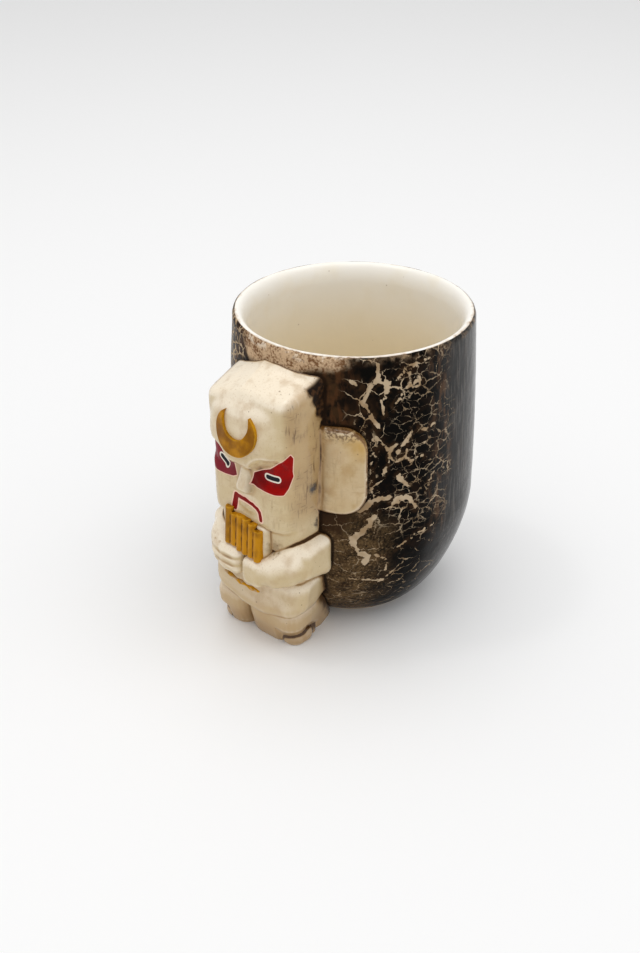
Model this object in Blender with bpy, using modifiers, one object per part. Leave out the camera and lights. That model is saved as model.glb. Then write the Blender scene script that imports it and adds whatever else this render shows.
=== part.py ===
"""A glazed figure mug: a thrown cup with a standing idol built up on its front.

The idol faces -Y, +Z is up, and the origin is the middle of the cup's flat foot on the table.
Left and right are the viewer's, facing the idol. All sizes are in metres.
"""

import math

import bmesh
import bpy
from mathutils import Matrix, Vector

MM = 0.001

# Cup
CUP_HEIGHT = 100.0 * MM
LIP_RADIUS = 37.4 * MM
BELLY_RADIUS = 39.4 * MM
BASE_RADIUS = 19.0 * MM
BASE_CURVE_HEIGHT = 40.0 * MM
BASE_FULLNESS = 1.6
WALL = 4.4 * MM
FLOOR = 6.0 * MM
COAT = 0.6 * MM
LINER = 0.6 * MM
DRY_FOOT = 1.2 * MM
CUP_FACETS = 40

# Clearance left for the slip between two luted pieces
SLIP_GAP = 0.3 * MM

# Heights of the idol, counted up from the table; the head fills what is left under the lip
FOOT_HEIGHT = 4.6 * MM
LEG_HEIGHT = 6.0 * MM
SKIRT_HEIGHT = 12.3 * MM
TORSO_HEIGHT = 19.3 * MM
HEAD_DROP = 3.0 * MM

# How far the idol's pieces stand out from the belly of the cup
FACE_PROUD = 10.8 * MM
BROW_PROUD = 3.2 * MM
BROW_DEPTH = 8.0 * MM
NOSE_PROUD = 3.0 * MM
BEARD_PROUD = 3.2 * MM
HAND_PROUD = 4.6 * MM
BELT_PROUD = 0.9 * MM
EAR_PROUD = 2.2 * MM
CREST_PROUD = 0.9 * MM
TORSO_SET_BACK = 4.6 * MM
LEG_SET_BACK = 3.2 * MM
FOOT_SET_BACK = 5.6 * MM

# Widths of the idol
HEAD_WIDTH = 35.0 * MM
JAW_WIDTH = 31.0 * MM
BROW_WIDTH = 37.2 * MM
NOSE_WIDTH = 5.8 * MM
BEARD_WIDTH = 16.4 * MM
TORSO_WIDTH = 26.0 * MM
SKIRT_WIDTH = 38.0 * MM
LEG_WIDTH = 16.2 * MM
FOOT_WIDTH = 12.6 * MM
HAND_WIDTH = 8.2 * MM
BELT_WIDTH = 24.0 * MM
BELT_HEIGHT = 2.0 * MM
ARM_RADIUS = 6.2 * MM
ARM_STAND_OFF = 2.2 * MM
CREST_RADIUS = 8.2 * MM
LEG_PARTING = 0.8 * MM

# Roundings and slopes
HEAD_CHAMFER = 5.0 * MM
HEAD_ROUND = 1.8 * MM
HEAD_TOP_FALL = 7.0 * MM
BODY_ROUND = 4.0 * MM
LEG_ROUND = 2.2 * MM
FOOT_ROUND = 1.6 * MM
SMALL_ROUND = 1.2 * MM
EAR_ROUND = 5.0 * MM
BEARD_RIBS = 5
BEARD_RIB_DEPTH = 0.9 * MM

# Levels of the features, as shares of the height of the head or of the torso
BROW_LEVEL = 0.656
BROW_SHARE = 0.234
NOSE_LOW = 0.292
NOSE_HIGH = 0.45
BEARD_HIGH = 0.128
EAR_LOW = 0.123
EAR_HIGH = 0.671
CREST_LEVEL = 0.638
HAND_LOW = 0.06
HAND_HIGH = 0.59
SHOULDER_LEVEL = 0.68
WRIST_LEVEL = 0.38
ARM_TALLNESS = 1.15
EAR_FIRST_ANGLE = math.radians(24.0)
EAR_LAST_ANGLE = math.radians(46.0)

# Levels and fronts that follow from the sizes above
LEG_BASE = FOOT_HEIGHT + SLIP_GAP
SKIRT_BASE = LEG_BASE + LEG_HEIGHT + SLIP_GAP
TORSO_BASE = SKIRT_BASE + SKIRT_HEIGHT + SLIP_GAP
JAW = TORSO_BASE + TORSO_HEIGHT + SLIP_GAP
HEAD_TOP = CUP_HEIGHT - HEAD_DROP
HEAD_HEIGHT = HEAD_TOP - JAW
FACE = BELLY_RADIUS + FACE_PROUD
BACK = BASE_RADIUS / 2
HEAD_BACK = 0.75 * BELLY_RADIUS

for leftover in list(bpy.data.objects):
    bpy.data.objects.remove(leftover, do_unlink=True)

parts = bpy.data.collections.new("figure_mug")
cutters = bpy.data.collections.new("cutters")
bpy.context.scene.collection.children.link(parts)
bpy.context.scene.collection.children.link(cutters)


def glaze(name, colour, roughness):
    """Principled material of one fired surface."""
    material = bpy.data.materials.new(name)
    material.use_nodes = True
    shader = material.node_tree.nodes["Principled BSDF"]
    shader.inputs["Base Color"].default_value = (*colour, 1.0)
    shader.inputs["Roughness"].default_value = roughness
    return material


BARE_CLAY = (0.55, 0.42, 0.30)
CREAM = (0.72, 0.62, 0.47)
GILT = (0.50, 0.30, 0.05)
DARK_CRACKLE = (0.03, 0.022, 0.018)


def add(name, bm, colour, roughness=0.3):
    """Put a bmesh into the scene as one named clay piece."""
    bmesh.ops.recalc_face_normals(bm, faces=bm.faces)
    mesh = bpy.data.meshes.new(name)
    bm.to_mesh(mesh)
    bm.free()
    piece = bpy.data.objects.new(name, mesh)
    parts.objects.link(piece)
    mesh.materials.append(glaze(name + "_surface", colour, roughness))
    return piece


def cutter(name, bm):
    """Put a bmesh into the scene as a hidden cutter."""
    bmesh.ops.recalc_face_normals(bm, faces=bm.faces)
    mesh = bpy.data.meshes.new(name)
    bm.to_mesh(mesh)
    bm.free()
    tool = bpy.data.objects.new(name, mesh)
    cutters.objects.link(tool)
    tool.hide_render = True
    tool.display_type = "WIRE"
    return tool


def boolean(piece, operation, *tools):
    """Cut a piece with each tool in turn."""
    for tool in tools:
        step = piece.modifiers.new(operation.lower() + "_" + tool.name, "BOOLEAN")
        step.operation = operation
        step.solver = "EXACT"
        step.object = tool


def smooth(piece, degrees=35.0):
    """Shade the piece smooth except across sharp edges."""
    bm = bmesh.new()
    bm.from_mesh(piece.data)
    for face in bm.faces:
        face.smooth = True
    for edge in bm.edges:
        edge.smooth = edge.is_boundary or edge.calc_face_angle(0.0) < math.radians(degrees)
    bm.to_mesh(piece.data)
    bm.free()


# Turned shapes: profiles are lists of (radius, height), and a Screw turns them round the cup's axis.


def turned_radius(height, floor, base, belly, lip):
    """Radius of the cup's curve at a height: a barrel wall over a rounded bottom."""
    curve_top = floor + BASE_CURVE_HEIGHT
    if height >= curve_top:
        share = (height - curve_top) / (CUP_HEIGHT - curve_top)
        return belly - (belly - lip) * share ** 2
    depth = (curve_top - height) / BASE_CURVE_HEIGHT
    return base + (belly - base) * (1.0 - depth ** BASE_FULLNESS) ** (1.0 / BASE_FULLNESS)


def wall_curve(top, bottom, floor, base, belly, lip):
    """Points of the cup's curve from the top down, closer together round the bottom."""
    points = []
    curve_top = floor + BASE_CURVE_HEIGHT
    for step in range(5):
        height = top + (curve_top - top) * step / 5
        points.append((turned_radius(height, floor, base, belly, lip), height))
    for step in range(9):
        angle = math.pi / 2 * step / 8
        height = curve_top - (curve_top - bottom) * math.sin(angle)
        points.append((turned_radius(height, floor, base, belly, lip), height))
    return points


def offset(points, distance):
    """Move a profile that runs downward sideways: outward for a positive distance."""
    moved = []
    for index, (radius, height) in enumerate(points):
        before = points[max(index - 1, 0)]
        after = points[min(index + 1, len(points) - 1)]
        along = Vector((after[0] - before[0], after[1] - before[1])).normalized()
        moved.append((max(radius - along.y * distance, 0.0), height + along.x * distance))
    return moved


LIP_TURN = WALL / 2
LIP_CENTRE = (LIP_RADIUS - LIP_TURN, CUP_HEIGHT - LIP_TURN)


def lip_arc(radius, first, last):
    """Points round the lip, from the first angle to the last, counted from straight out."""
    points = []
    for step in range(7):
        angle = math.radians(first + (last - first) * step / 6)
        points.append((LIP_CENTRE[0] + radius * math.cos(angle), LIP_CENTRE[1] + radius * math.sin(angle)))
    return points


def outer_curve(bottom=0.0):
    """Outside of the cup from under the lip to the foot."""
    return wall_curve(CUP_HEIGHT - LIP_TURN, bottom, 0.0, BASE_RADIUS, BELLY_RADIUS, LIP_RADIUS)


def inner_curve():
    """Inside of the cup from under the lip to the floor."""
    top = CUP_HEIGHT - LIP_TURN
    return wall_curve(top, FLOOR, FLOOR, BASE_RADIUS - WALL, BELLY_RADIUS - WALL, LIP_RADIUS - WALL)


def turn(piece_or_tool, points, closed):
    """Give an object a profile and the Screw that turns it."""
    bm = bmesh.new()
    corners = [bm.verts.new((radius, 0.0, height)) for radius, height in points]
    for first, second in zip(corners, corners[1:]):
        bm.edges.new((first, second))
    if closed:
        bm.edges.new((corners[-1], corners[0]))
    bm.to_mesh(piece_or_tool.data)
    bm.free()
    screw = piece_or_tool.modifiers.new("turn", "SCREW")
    screw.axis = "Z"
    screw.steps = CUP_FACETS
    screw.render_steps = CUP_FACETS
    screw.use_merge_vertices = True
    screw.merge_threshold = 0.00001
    screw.use_smooth_shade = True
    return piece_or_tool


def envelope(name, distance):
    """Solid column of the cup's outside, grown by a distance, to fit a piece against the wall."""
    side = offset(outer_curve(), distance)
    above = CUP_HEIGHT + HEAD_HEIGHT
    below = -FLOOR
    points = [(0.0, above), (side[0][0], above)] + side + [(side[-1][0], below), (0.0, below)]
    return turn(cutter(name, bmesh.new()), points, closed=False)


clay_gap = SLIP_GAP
clay_side = offset(outer_curve(), -(COAT + clay_gap))
clay_side = [point for point in clay_side if point[1] > 0.0]
clay_inside = offset(inner_curve(), LINER + clay_gap)
clay_floor = FLOOR - LINER - clay_gap
clay_inside = [point for point in clay_inside if point[1] > clay_floor] + [(0.0, clay_floor)]
clay_lip = lip_arc(LIP_TURN - LINER - clay_gap, 165.0, 15.0)
clay_foot = clay_side[-1][0]
clay_profile = clay_inside[::-1] + clay_lip + clay_side + [(clay_foot, 0.0), (0.0, 0.0)]
cup_wall = turn(add("cup_wall", bmesh.new(), BARE_CLAY, 0.6), clay_profile, closed=False)

coat_face = outer_curve(DRY_FOOT)
coat_profile = coat_face + offset(coat_face, -COAT)[::-1]
crackle_coat = turn(add("crackle_coat", bmesh.new(), DARK_CRACKLE, 0.25), coat_profile, closed=True)

liner_end = math.degrees(math.asin(min(3 * SLIP_GAP / LIP_TURN, 0.9)))
liner_face = inner_curve() + [(0.0, FLOOR)]
liner_lip = lip_arc(LIP_TURN, 165.0, liner_end)
liner_back = lip_arc(LIP_TURN - LINER, liner_end, 165.0)
liner_under = [point for point in offset(inner_curve(), LINER) if point[1] > FLOOR - LINER]
liner_under = liner_under + [(0.0, FLOOR - LINER)]
liner_profile = liner_face[::-1] + liner_lip + liner_back + liner_under
liner_glaze = turn(add("liner_glaze", bmesh.new(), CREAM, 0.2), liner_profile, closed=False)

wall_clearance = envelope("wall_clearance", SLIP_GAP)
ear_envelope = envelope("ear_envelope", EAR_PROUD)


# The idol: blocks, domes and rolls of clay. A grow above zero gives the clearance cutter of a piece.


def block(low, high, rounding, grow=0.0):
    """Block between two corners (x, radius out from the axis, z) with rounded edges."""
    bm = bmesh.new()
    bmesh.ops.create_cube(bm, size=1.0)
    width = high[0] - low[0] + 2 * grow
    depth = high[1] - low[1] + 2 * grow
    height = high[2] - low[2] + 2 * grow
    middle = Vector(((low[0] + high[0]) / 2, -(low[1] + high[1]) / 2, (low[2] + high[2]) / 2))
    bmesh.ops.scale(bm, vec=(width, depth, height), verts=bm.verts)
    bmesh.ops.translate(bm, vec=middle, verts=bm.verts)
    if rounding > 0.0:
        round_edges(bm, bm.edges[:], rounding + grow)
    return bm


def round_edges(bm, edges, radius, segments=3):
    """Round off some edges."""
    bmesh.ops.bevel(
        bm, geom=edges, offset=radius, offset_type="OFFSET", affect="EDGES",
        segments=segments, profile=0.5, clamp_overlap=True, material=-1)


def dome(middle, radii, grow=0.0):
    """Ellipsoid round a middle (x, radius out from the axis, z)."""
    bm = bmesh.new()
    bmesh.ops.create_uvsphere(bm, u_segments=28, v_segments=16, radius=1.0)
    bmesh.ops.scale(bm, vec=[radius + grow for radius in radii], verts=bm.verts)
    bmesh.ops.translate(bm, vec=(middle[0], -middle[1], middle[2]), verts=bm.verts)
    return bm


def head_shape(grow=0.0):
    """Tall block with a falling top, a narrower jaw and chamfered front corners."""
    low = (-HEAD_WIDTH / 2, HEAD_BACK, JAW)
    high = (HEAD_WIDTH / 2, FACE, HEAD_TOP)
    bm = block(low, high, 0.0, grow)
    middle = (JAW + HEAD_TOP) / 2
    for vert in bm.verts:
        if vert.co.z < middle:
            vert.co.x *= JAW_WIDTH / HEAD_WIDTH
        elif vert.co.y < -BELLY_RADIUS:
            vert.co.z -= HEAD_TOP_FALL
    corners = [edge for edge in bm.edges if is_front_corner(edge)]
    round_edges(bm, corners, HEAD_CHAMFER, segments=2)
    round_edges(bm, [edge for edge in bm.edges if edge.calc_face_angle() > 0.7], HEAD_ROUND + grow, 2)
    return bm


def is_front_corner(edge):
    """True for the upright edges at the front of a block."""
    first, second = edge.verts
    upright = abs(first.co.z - second.co.z) > HEAD_HEIGHT / 2
    return upright and first.co.y < -BELLY_RADIUS


BROW_HEIGHT = JAW + BROW_LEVEL * HEAD_HEIGHT
BROW_MIDDLE = (0.0, FACE + BROW_PROUD - BROW_DEPTH, BROW_HEIGHT)
BROW_RADII = (BROW_WIDTH / 2, BROW_DEPTH, BROW_SHARE * HEAD_HEIGHT)

head_block = add("head_block", head_shape(), CREAM)
boolean(head_block, "DIFFERENCE", wall_clearance)
head_clearance = cutter("head_clearance", head_shape(SLIP_GAP))

brow_dome = add("brow_dome", dome(BROW_MIDDLE, BROW_RADII), CREAM)
boolean(brow_dome, "DIFFERENCE", head_clearance)
smooth(brow_dome)
brow_clearance = cutter("brow_clearance", dome(BROW_MIDDLE, BROW_RADII, SLIP_GAP))
crest_envelope = cutter("crest_envelope", dome(BROW_MIDDLE, BROW_RADII, SLIP_GAP + CREST_PROUD))


def crescent(radius, hollow, lift, depth):
    """Upturned crescent, its face to the front: a disc with a smaller disc bitten out of its top."""
    turn_up = Matrix.Rotation(math.pi / 2, 4, "X")
    bm = bmesh.new()
    bmesh.ops.create_cone(bm, cap_ends=True, segments=32, radius1=radius, radius2=radius, depth=depth)
    bmesh.ops.transform(bm, matrix=turn_up, verts=bm.verts)
    bite = bmesh.new()
    bmesh.ops.create_cone(bite, cap_ends=True, segments=32, radius1=hollow, radius2=hollow, depth=2 * depth)
    bmesh.ops.transform(bite, matrix=turn_up, verts=bite.verts)
    bmesh.ops.translate(bite, vec=(0.0, 0.0, lift), verts=bite.verts)
    return bm, bite


CREST_MIDDLE = Vector((0.0, -FACE - BROW_PROUD, JAW + CREST_LEVEL * HEAD_HEIGHT))
crest_disc, crest_hollow = crescent(CREST_RADIUS, 0.72 * CREST_RADIUS, 0.62 * CREST_RADIUS, 4 * BROW_PROUD)
for half_made in (crest_disc, crest_hollow):
    bmesh.ops.translate(half_made, vec=CREST_MIDDLE, verts=half_made.verts)
crest = add("crest", crest_disc, GILT, 0.35)
crest_bite = cutter("crest_bite", crest_hollow)
boolean(crest, "DIFFERENCE", crest_bite)
boolean(crest, "INTERSECT", crest_envelope)
boolean(crest, "DIFFERENCE", brow_clearance, head_clearance)


def nose_shape(grow=0.0):
    """Nose wedge: flat under its tip, running up under the brow."""
    low = (-NOSE_WIDTH / 2, FACE - NOSE_PROUD, JAW + NOSE_LOW * HEAD_HEIGHT)
    high = (NOSE_WIDTH / 2, FACE + NOSE_PROUD, JAW + NOSE_HIGH * HEAD_HEIGHT)
    bm = block(low, high, 0.0, grow)
    middle = (low[2] + high[2]) / 2
    for vert in bm.verts:
        if vert.co.z > middle:
            vert.co.y += NOSE_PROUD / 2 if vert.co.y < -FACE else 0.0
            vert.co.x *= 0.7
    round_edges(bm, bm.edges[:], SMALL_ROUND + grow)
    return bm


nose = add("nose", nose_shape(), CREAM)
boolean(nose, "DIFFERENCE", head_clearance, brow_clearance)
nose_clearance = cutter("nose_clearance", nose_shape(SLIP_GAP))


def torso_shape(grow=0.0):
    """Trunk between the jaw and the skirt."""
    low = (-TORSO_WIDTH / 2, BACK, TORSO_BASE)
    high = (TORSO_WIDTH / 2, FACE - TORSO_SET_BACK, TORSO_BASE + TORSO_HEIGHT)
    return block(low, high, SMALL_ROUND, grow)


torso = add("torso", torso_shape(), CREAM)
boolean(torso, "DIFFERENCE", wall_clearance)
torso_clearance = cutter("torso_clearance", torso_shape(SLIP_GAP))


def skirt_shape(grow=0.0):
    """Baggy skirt over the legs."""
    low = (-SKIRT_WIDTH / 2, BACK, SKIRT_BASE)
    high = (SKIRT_WIDTH / 2, FACE, SKIRT_BASE + SKIRT_HEIGHT)
    return block(low, high, BODY_ROUND, grow)


skirt = add("skirt", skirt_shape(), CREAM)
boolean(skirt, "DIFFERENCE", wall_clearance)
skirt_clearance = cutter("skirt_clearance", skirt_shape(SLIP_GAP))

belt_top = SKIRT_BASE + SKIRT_HEIGHT - SLIP_GAP
belt_low = (-BELT_WIDTH / 2, FACE - BODY_ROUND, belt_top - BELT_HEIGHT)
belt_high = (BELT_WIDTH / 2, FACE + BELT_PROUD, belt_top)
belt = add("belt", block(belt_low, belt_high, BELT_HEIGHT / 5), GILT, 0.35)
boolean(belt, "DIFFERENCE", skirt_clearance)

HAND_BASE = TORSO_BASE + HAND_LOW * TORSO_HEIGHT
HAND_TOP = TORSO_BASE + HAND_HIGH * TORSO_HEIGHT


def beard_shape(grow=0.0):
    """Ribbed beard: its plan, a row of upright ribs, raised into a slab."""
    half = BEARD_WIDTH / 2 + grow
    back = FACE - TORSO_SET_BACK - grow
    front = FACE + BEARD_PROUD + grow
    low = HAND_TOP + SLIP_GAP - grow
    high = JAW + BEARD_HIGH * HEAD_HEIGHT + grow
    bm = bmesh.new()
    plan = [bm.verts.new((half, -back, low)), bm.verts.new((-half, -back, low))]
    steps = 4 * BEARD_RIBS
    for step in range(steps + 1):
        share = step / steps
        rib = abs(math.sin(math.pi * BEARD_RIBS * share))
        out = front - BEARD_RIB_DEPTH * (1.0 - rib)
        plan.append(bm.verts.new((2 * half * (share - 0.5), -out, low)))
    floor = bm.faces.new(plan)
    raised = bmesh.ops.extrude_face_region(bm, geom=[floor])
    lifted = [item for item in raised["geom"] if isinstance(item, bmesh.types.BMVert)]
    bmesh.ops.translate(bm, vec=(0.0, 0.0, high - low), verts=lifted)
    return bm


beard = add("beard", beard_shape(), GILT, 0.35)
boolean(beard, "DIFFERENCE", head_clearance, torso_clearance, nose_clearance)
beard_clearance = cutter("beard_clearance", beard_shape(SLIP_GAP))


def hand_shape(side, grow=0.0):
    """Fist beside the middle of the chest; side is -1 on the left and 1 on the right."""
    inner = SLIP_GAP / 2
    outer = inner + HAND_WIDTH
    low = (min(side * inner, side * outer), FACE - 2 * TORSO_SET_BACK, HAND_BASE)
    high = (max(side * inner, side * outer), FACE + HAND_PROUD, HAND_TOP)
    return block(low, high, BODY_ROUND / 2, grow)


def arm_path(side):
    """Middle line of an arm: down from the shoulder at the wall, then forward and in to the fist."""
    out = side * (TORSO_WIDTH / 2 + ARM_STAND_OFF)
    front = FACE - TORSO_SET_BACK + ARM_STAND_OFF
    high = TORSO_BASE + SHOULDER_LEVEL * TORSO_HEIGHT
    low = TORSO_BASE + WRIST_LEVEL * TORSO_HEIGHT
    return (
        (out, -BELLY_RADIUS + ARM_RADIUS, high),
        (out, -BELLY_RADIUS, (high + low) / 2 + (high - low) / 4),
        (out * 0.93, -(front - 1.4 * ARM_STAND_OFF), (high + low) / 2),
        (out * 0.68, -(front - 0.4 * ARM_STAND_OFF), (high + 3 * low) / 4),
        (side * HAND_WIDTH / 2, -front, low))


def arm_shape(side, grow=0.0):
    """Roll of clay along the arm's path, taller than it is thick."""
    curve = bpy.data.curves.new("arm_roll", "CURVE")
    curve.dimensions = "3D"
    curve.bevel_depth = ARM_RADIUS + grow
    curve.bevel_resolution = 3
    curve.resolution_u = 4
    curve.use_fill_caps = True
    spline = curve.splines.new("BEZIER")
    path = arm_path(side)
    spline.bezier_points.add(len(path) - 1)
    for point, place in zip(spline.bezier_points, path):
        point.co = place
        point.handle_left_type = "AUTO"
        point.handle_right_type = "AUTO"
    roll = bpy.data.objects.new("arm_roll", curve)
    cutters.objects.link(roll)
    bpy.context.view_layer.update()
    bm = bmesh.new()
    mesh = bpy.data.meshes.new_from_object(roll.evaluated_get(bpy.context.evaluated_depsgraph_get()))
    bm.from_mesh(mesh)
    bmesh.ops.remove_doubles(bm, verts=bm.verts, dist=0.00001)
    bpy.data.objects.remove(roll, do_unlink=True)
    middle = Vector((0.0, 0.0, (path[0][2] + path[-1][2]) / 2))
    bmesh.ops.translate(bm, vec=-middle, verts=bm.verts)
    bmesh.ops.scale(bm, vec=(1.0, 1.0, ARM_TALLNESS), verts=bm.verts)
    bmesh.ops.translate(bm, vec=middle, verts=bm.verts)
    return bm


def leg_shape(side):
    """Trouser leg under the skirt."""
    inner = LEG_PARTING / 2
    outer = inner + LEG_WIDTH
    low = (min(side * inner, side * outer), BACK, LEG_BASE)
    high = (max(side * inner, side * outer), FACE - LEG_SET_BACK, LEG_BASE + LEG_HEIGHT)
    return block(low, high, LEG_ROUND)


def foot_shape(side):
    """Foot with a flat sole on the table."""
    inner = LEG_PARTING / 2 + (LEG_WIDTH - FOOT_WIDTH) / 2
    outer = inner + FOOT_WIDTH
    low = (min(side * inner, side * outer), BACK, 0.0)
    high = (max(side * inner, side * outer), FACE - FOOT_SET_BACK, FOOT_HEIGHT)
    return block(low, high, FOOT_ROUND)


def ear_shape(side):
    """Ear slab facing straight out of the wall, rounded at its corners."""
    middle = side * (EAR_FIRST_ANGLE + EAR_LAST_ANGLE) / 2
    half = BELLY_RADIUS * math.sin((EAR_LAST_ANGLE - EAR_FIRST_ANGLE) / 2)
    low = (-half, BELLY_RADIUS / 2, JAW + EAR_LOW * HEAD_HEIGHT)
    high = (half, BELLY_RADIUS + 2 * EAR_PROUD, JAW + EAR_HIGH * HEAD_HEIGHT)
    bm = block(low, high, 0.0)
    across = [edge for edge in bm.edges if abs(edge.verts[0].co.y - edge.verts[1].co.y) > BELLY_RADIUS / 4]
    round_edges(bm, across, EAR_ROUND, 4)
    bmesh.ops.rotate(bm, cent=(0.0, 0.0, 0.0), matrix=Matrix.Rotation(middle, 3, "Z"), verts=bm.verts)
    return bm


for side, word in ((-1, "left"), (1, "right")):
    hand = add(word + "_hand", hand_shape(side), CREAM)
    boolean(hand, "DIFFERENCE", torso_clearance)
    hand_clearance = cutter(word + "_hand_clearance", hand_shape(side, SLIP_GAP))

    arm = add(word + "_arm", arm_shape(side), CREAM)
    smooth(arm)
    boolean(arm, "DIFFERENCE", hand_clearance, torso_clearance, head_clearance, skirt_clearance)
    boolean(arm, "DIFFERENCE", beard_clearance, wall_clearance)

    leg = add(word + "_leg", leg_shape(side), CREAM)
    boolean(leg, "DIFFERENCE", wall_clearance)

    foot = add(word + "_foot", foot_shape(side), CREAM)
    boolean(foot, "DIFFERENCE", wall_clearance)

    ear = add(word + "_ear", ear_shape(side), CREAM)
    boolean(ear, "INTERSECT", ear_envelope)
    boolean(ear, "DIFFERENCE", wall_clearance, head_clearance)
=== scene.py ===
# %% [markdown]
# # A glazed figure mug
# The mug is fired clay: a thrown cup, an idol pressed on to its front from lumps of clay, and a few
# glazes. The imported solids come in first, as a frame that stays still. Each later step dresses some of
# them. Left and right are the viewer's, facing the idol, which looks along -Y. The noise that makes clay
# and glaze uneven gets a fixed seed, so that every run gives the same mug.

# %% Load the frame
import math

import bmesh
import bpy
import numpy as np
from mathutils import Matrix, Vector, noise
from mathutils.bvhtree import BVHTree


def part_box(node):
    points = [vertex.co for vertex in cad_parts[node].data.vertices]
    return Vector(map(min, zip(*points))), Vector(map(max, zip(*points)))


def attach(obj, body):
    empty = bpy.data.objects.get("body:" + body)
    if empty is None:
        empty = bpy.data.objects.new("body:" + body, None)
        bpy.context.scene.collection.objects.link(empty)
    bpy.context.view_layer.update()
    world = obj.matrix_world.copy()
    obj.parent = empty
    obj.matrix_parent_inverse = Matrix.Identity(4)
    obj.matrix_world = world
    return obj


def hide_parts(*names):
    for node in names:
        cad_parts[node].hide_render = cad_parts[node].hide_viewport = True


NOISE_SEED = 5
noise.seed_set(NOISE_SEED)

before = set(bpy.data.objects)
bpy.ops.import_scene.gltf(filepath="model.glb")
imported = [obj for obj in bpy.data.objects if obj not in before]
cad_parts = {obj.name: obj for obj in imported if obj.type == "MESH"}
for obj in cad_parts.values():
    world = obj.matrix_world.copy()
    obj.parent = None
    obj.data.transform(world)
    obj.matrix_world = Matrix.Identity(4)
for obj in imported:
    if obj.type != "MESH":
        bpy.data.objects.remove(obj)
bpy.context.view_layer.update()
scene = bpy.context.scene
print("nodes in the frame:", len(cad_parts))

# %% [markdown]
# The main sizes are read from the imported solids, so the dressed mug can't drift away from them. The few
# that a box can't tell, such as the curve of the bottom, are named here in millimetres.

# %% Sizes of the cup
MM = 0.001
CUP_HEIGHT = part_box("liner_glaze")[1].z
BELLY_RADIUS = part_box("crackle_coat")[1].x
FACE = -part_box("head_block")[0].y
LIP_RADIUS = 37.4 * MM
BASE_RADIUS = 19.0 * MM
BASE_CURVE_HEIGHT = 40.0 * MM
BASE_FULLNESS = 1.6
WALL = 4.4 * MM
FLOOR = 6.0 * MM
LIP_ROUND = 1.2 * MM
LIP_FALL = 6.0 * MM
GLAZE = 0.6 * MM
DRY_FOOT = 1.2 * MM
print("cup", round(CUP_HEIGHT / MM, 1), "mm tall,", round(2 * BELLY_RADIUS / MM, 1), "mm wide")

# %% [markdown]
# A thrown cup is a turned shape, so one curve gives its radius at every height: a barrel wall that leans
# in a little at the lip, over a rounded bottom. Inside and outside use the same curve with other sizes.

# %% Curve of the cup
ROW_CROWDING = 1.35


def cup_radius(height, floor=0.0, inset=0.0):
    """Radius of the outside at a height, or of the inside with a floor and an inset."""
    base = BASE_RADIUS - inset
    belly = BELLY_RADIUS - inset
    lip = LIP_RADIUS - inset
    curve_top = floor + BASE_CURVE_HEIGHT
    lean = max(height - curve_top, 0.0) / (CUP_HEIGHT - curve_top)
    depth = min(max(curve_top - height, 0.0) / BASE_CURVE_HEIGHT, 1.0)
    rounded = (1.0 - depth ** BASE_FULLNESS) ** (1.0 / BASE_FULLNESS)
    return base + (belly - base) * rounded - (belly - lip) * lean ** 2


def wall_points(top, bottom, rows, floor=0.0, inset=0.0):
    """Points (radius, height) down the wall, closer together round the bottom."""
    points = []
    for row in range(rows + 1):
        share = row / rows
        height = top + (bottom - top) * (1.0 - (1.0 - share) ** ROW_CROWDING)
        points.append((cup_radius(height, floor, inset), height))
    return points


def lip_points(inset, first, last, rows=8):
    """Points over the lip between two angles from straight out: round outside, a long fall inside."""
    middle = LIP_RADIUS - LIP_ROUND
    inner = middle - cup_radius(CUP_HEIGHT - LIP_FALL, FLOOR, WALL)
    points = []
    for row in range(rows + 1):
        angle = math.radians(first + (last - first) * row / rows)
        wide, tall = (LIP_ROUND, LIP_ROUND) if angle < math.pi / 2 else (inner, LIP_FALL)
        points.append((
            middle + (wide - inset) * math.cos(angle),
            CUP_HEIGHT - tall + (tall - inset) * math.sin(angle)))
    return points


print("radius at mid height:", round(cup_radius(CUP_HEIGHT / 2) / MM, 1), "mm")

# %% [markdown]
# Two helpers serve every piece. One spins a profile into a turned body, with the seam merged. The other
# puts a finished bmesh into the scene, lets it ride with the mug and hides the imported solids it stands
# for.

# %% Helpers for pieces
SEAM_MERGE = 0.001 * MM


def spun(profile, steps, closed=False):
    """Spin a profile of (radius, height) points once round the cup's axis."""
    bm = bmesh.new()
    verts = [bm.verts.new((radius, 0.0, height)) for radius, height in profile]
    edges = [bm.edges.new(pair) for pair in zip(verts, verts[1:])]
    if closed:
        edges.append(bm.edges.new((verts[-1], verts[0])))
    bmesh.ops.spin(
        bm, geom=verts + edges, cent=(0, 0, 0), axis=(0, 0, 1),
        angle=2 * math.pi, steps=steps, use_merge=True, use_duplicate=False)
    bmesh.ops.remove_doubles(bm, verts=bm.verts, dist=SEAM_MERGE)
    bmesh.ops.recalc_face_normals(bm, faces=bm.faces)
    return bm


def add_piece(name, bm, slot, *nodes):
    """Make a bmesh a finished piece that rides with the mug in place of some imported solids."""
    mesh = bpy.data.meshes.new(name)
    bm.to_mesh(mesh)
    bm.free()
    mesh.shade_smooth()
    piece = bpy.data.objects.new(name, mesh)
    scene.collection.objects.link(piece)
    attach(piece, "root")
    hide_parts(*nodes)
    print(name, "has", len(mesh.polygons), "faces")
    return piece


print("pieces stand for", len(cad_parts), "packed solids")

# %% [markdown]
# The cup itself is three layers, one inside the other: the clay, which shows only under the foot, the
# dark coat outside and the cream glaze inside, which runs over the lip. The coat's outer side is dense,
# because it carries the crackle, and a little noise makes it as uneven as a poured glaze.

# %% Clay, coat and liner
COAT_EDGE = 62.0
HIDDEN_ROWS = 24
COAT_ROWS = 165
LINER_ROWS = 80
FOOT_EDGE = ((0.0, DRY_FOOT), (0.4 * MM, 0.1 * MM), (0.7 * MM, 0.0))


def uneven(bm, depth, length, verts=None):
    """Move points along their normals by soft noise of a depth and a length in millimetres."""
    bm.normal_update()
    for vert in verts or bm.verts:
        vert.co += vert.normal * (depth * MM) * noise.noise(vert.co / (length * MM))


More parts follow.
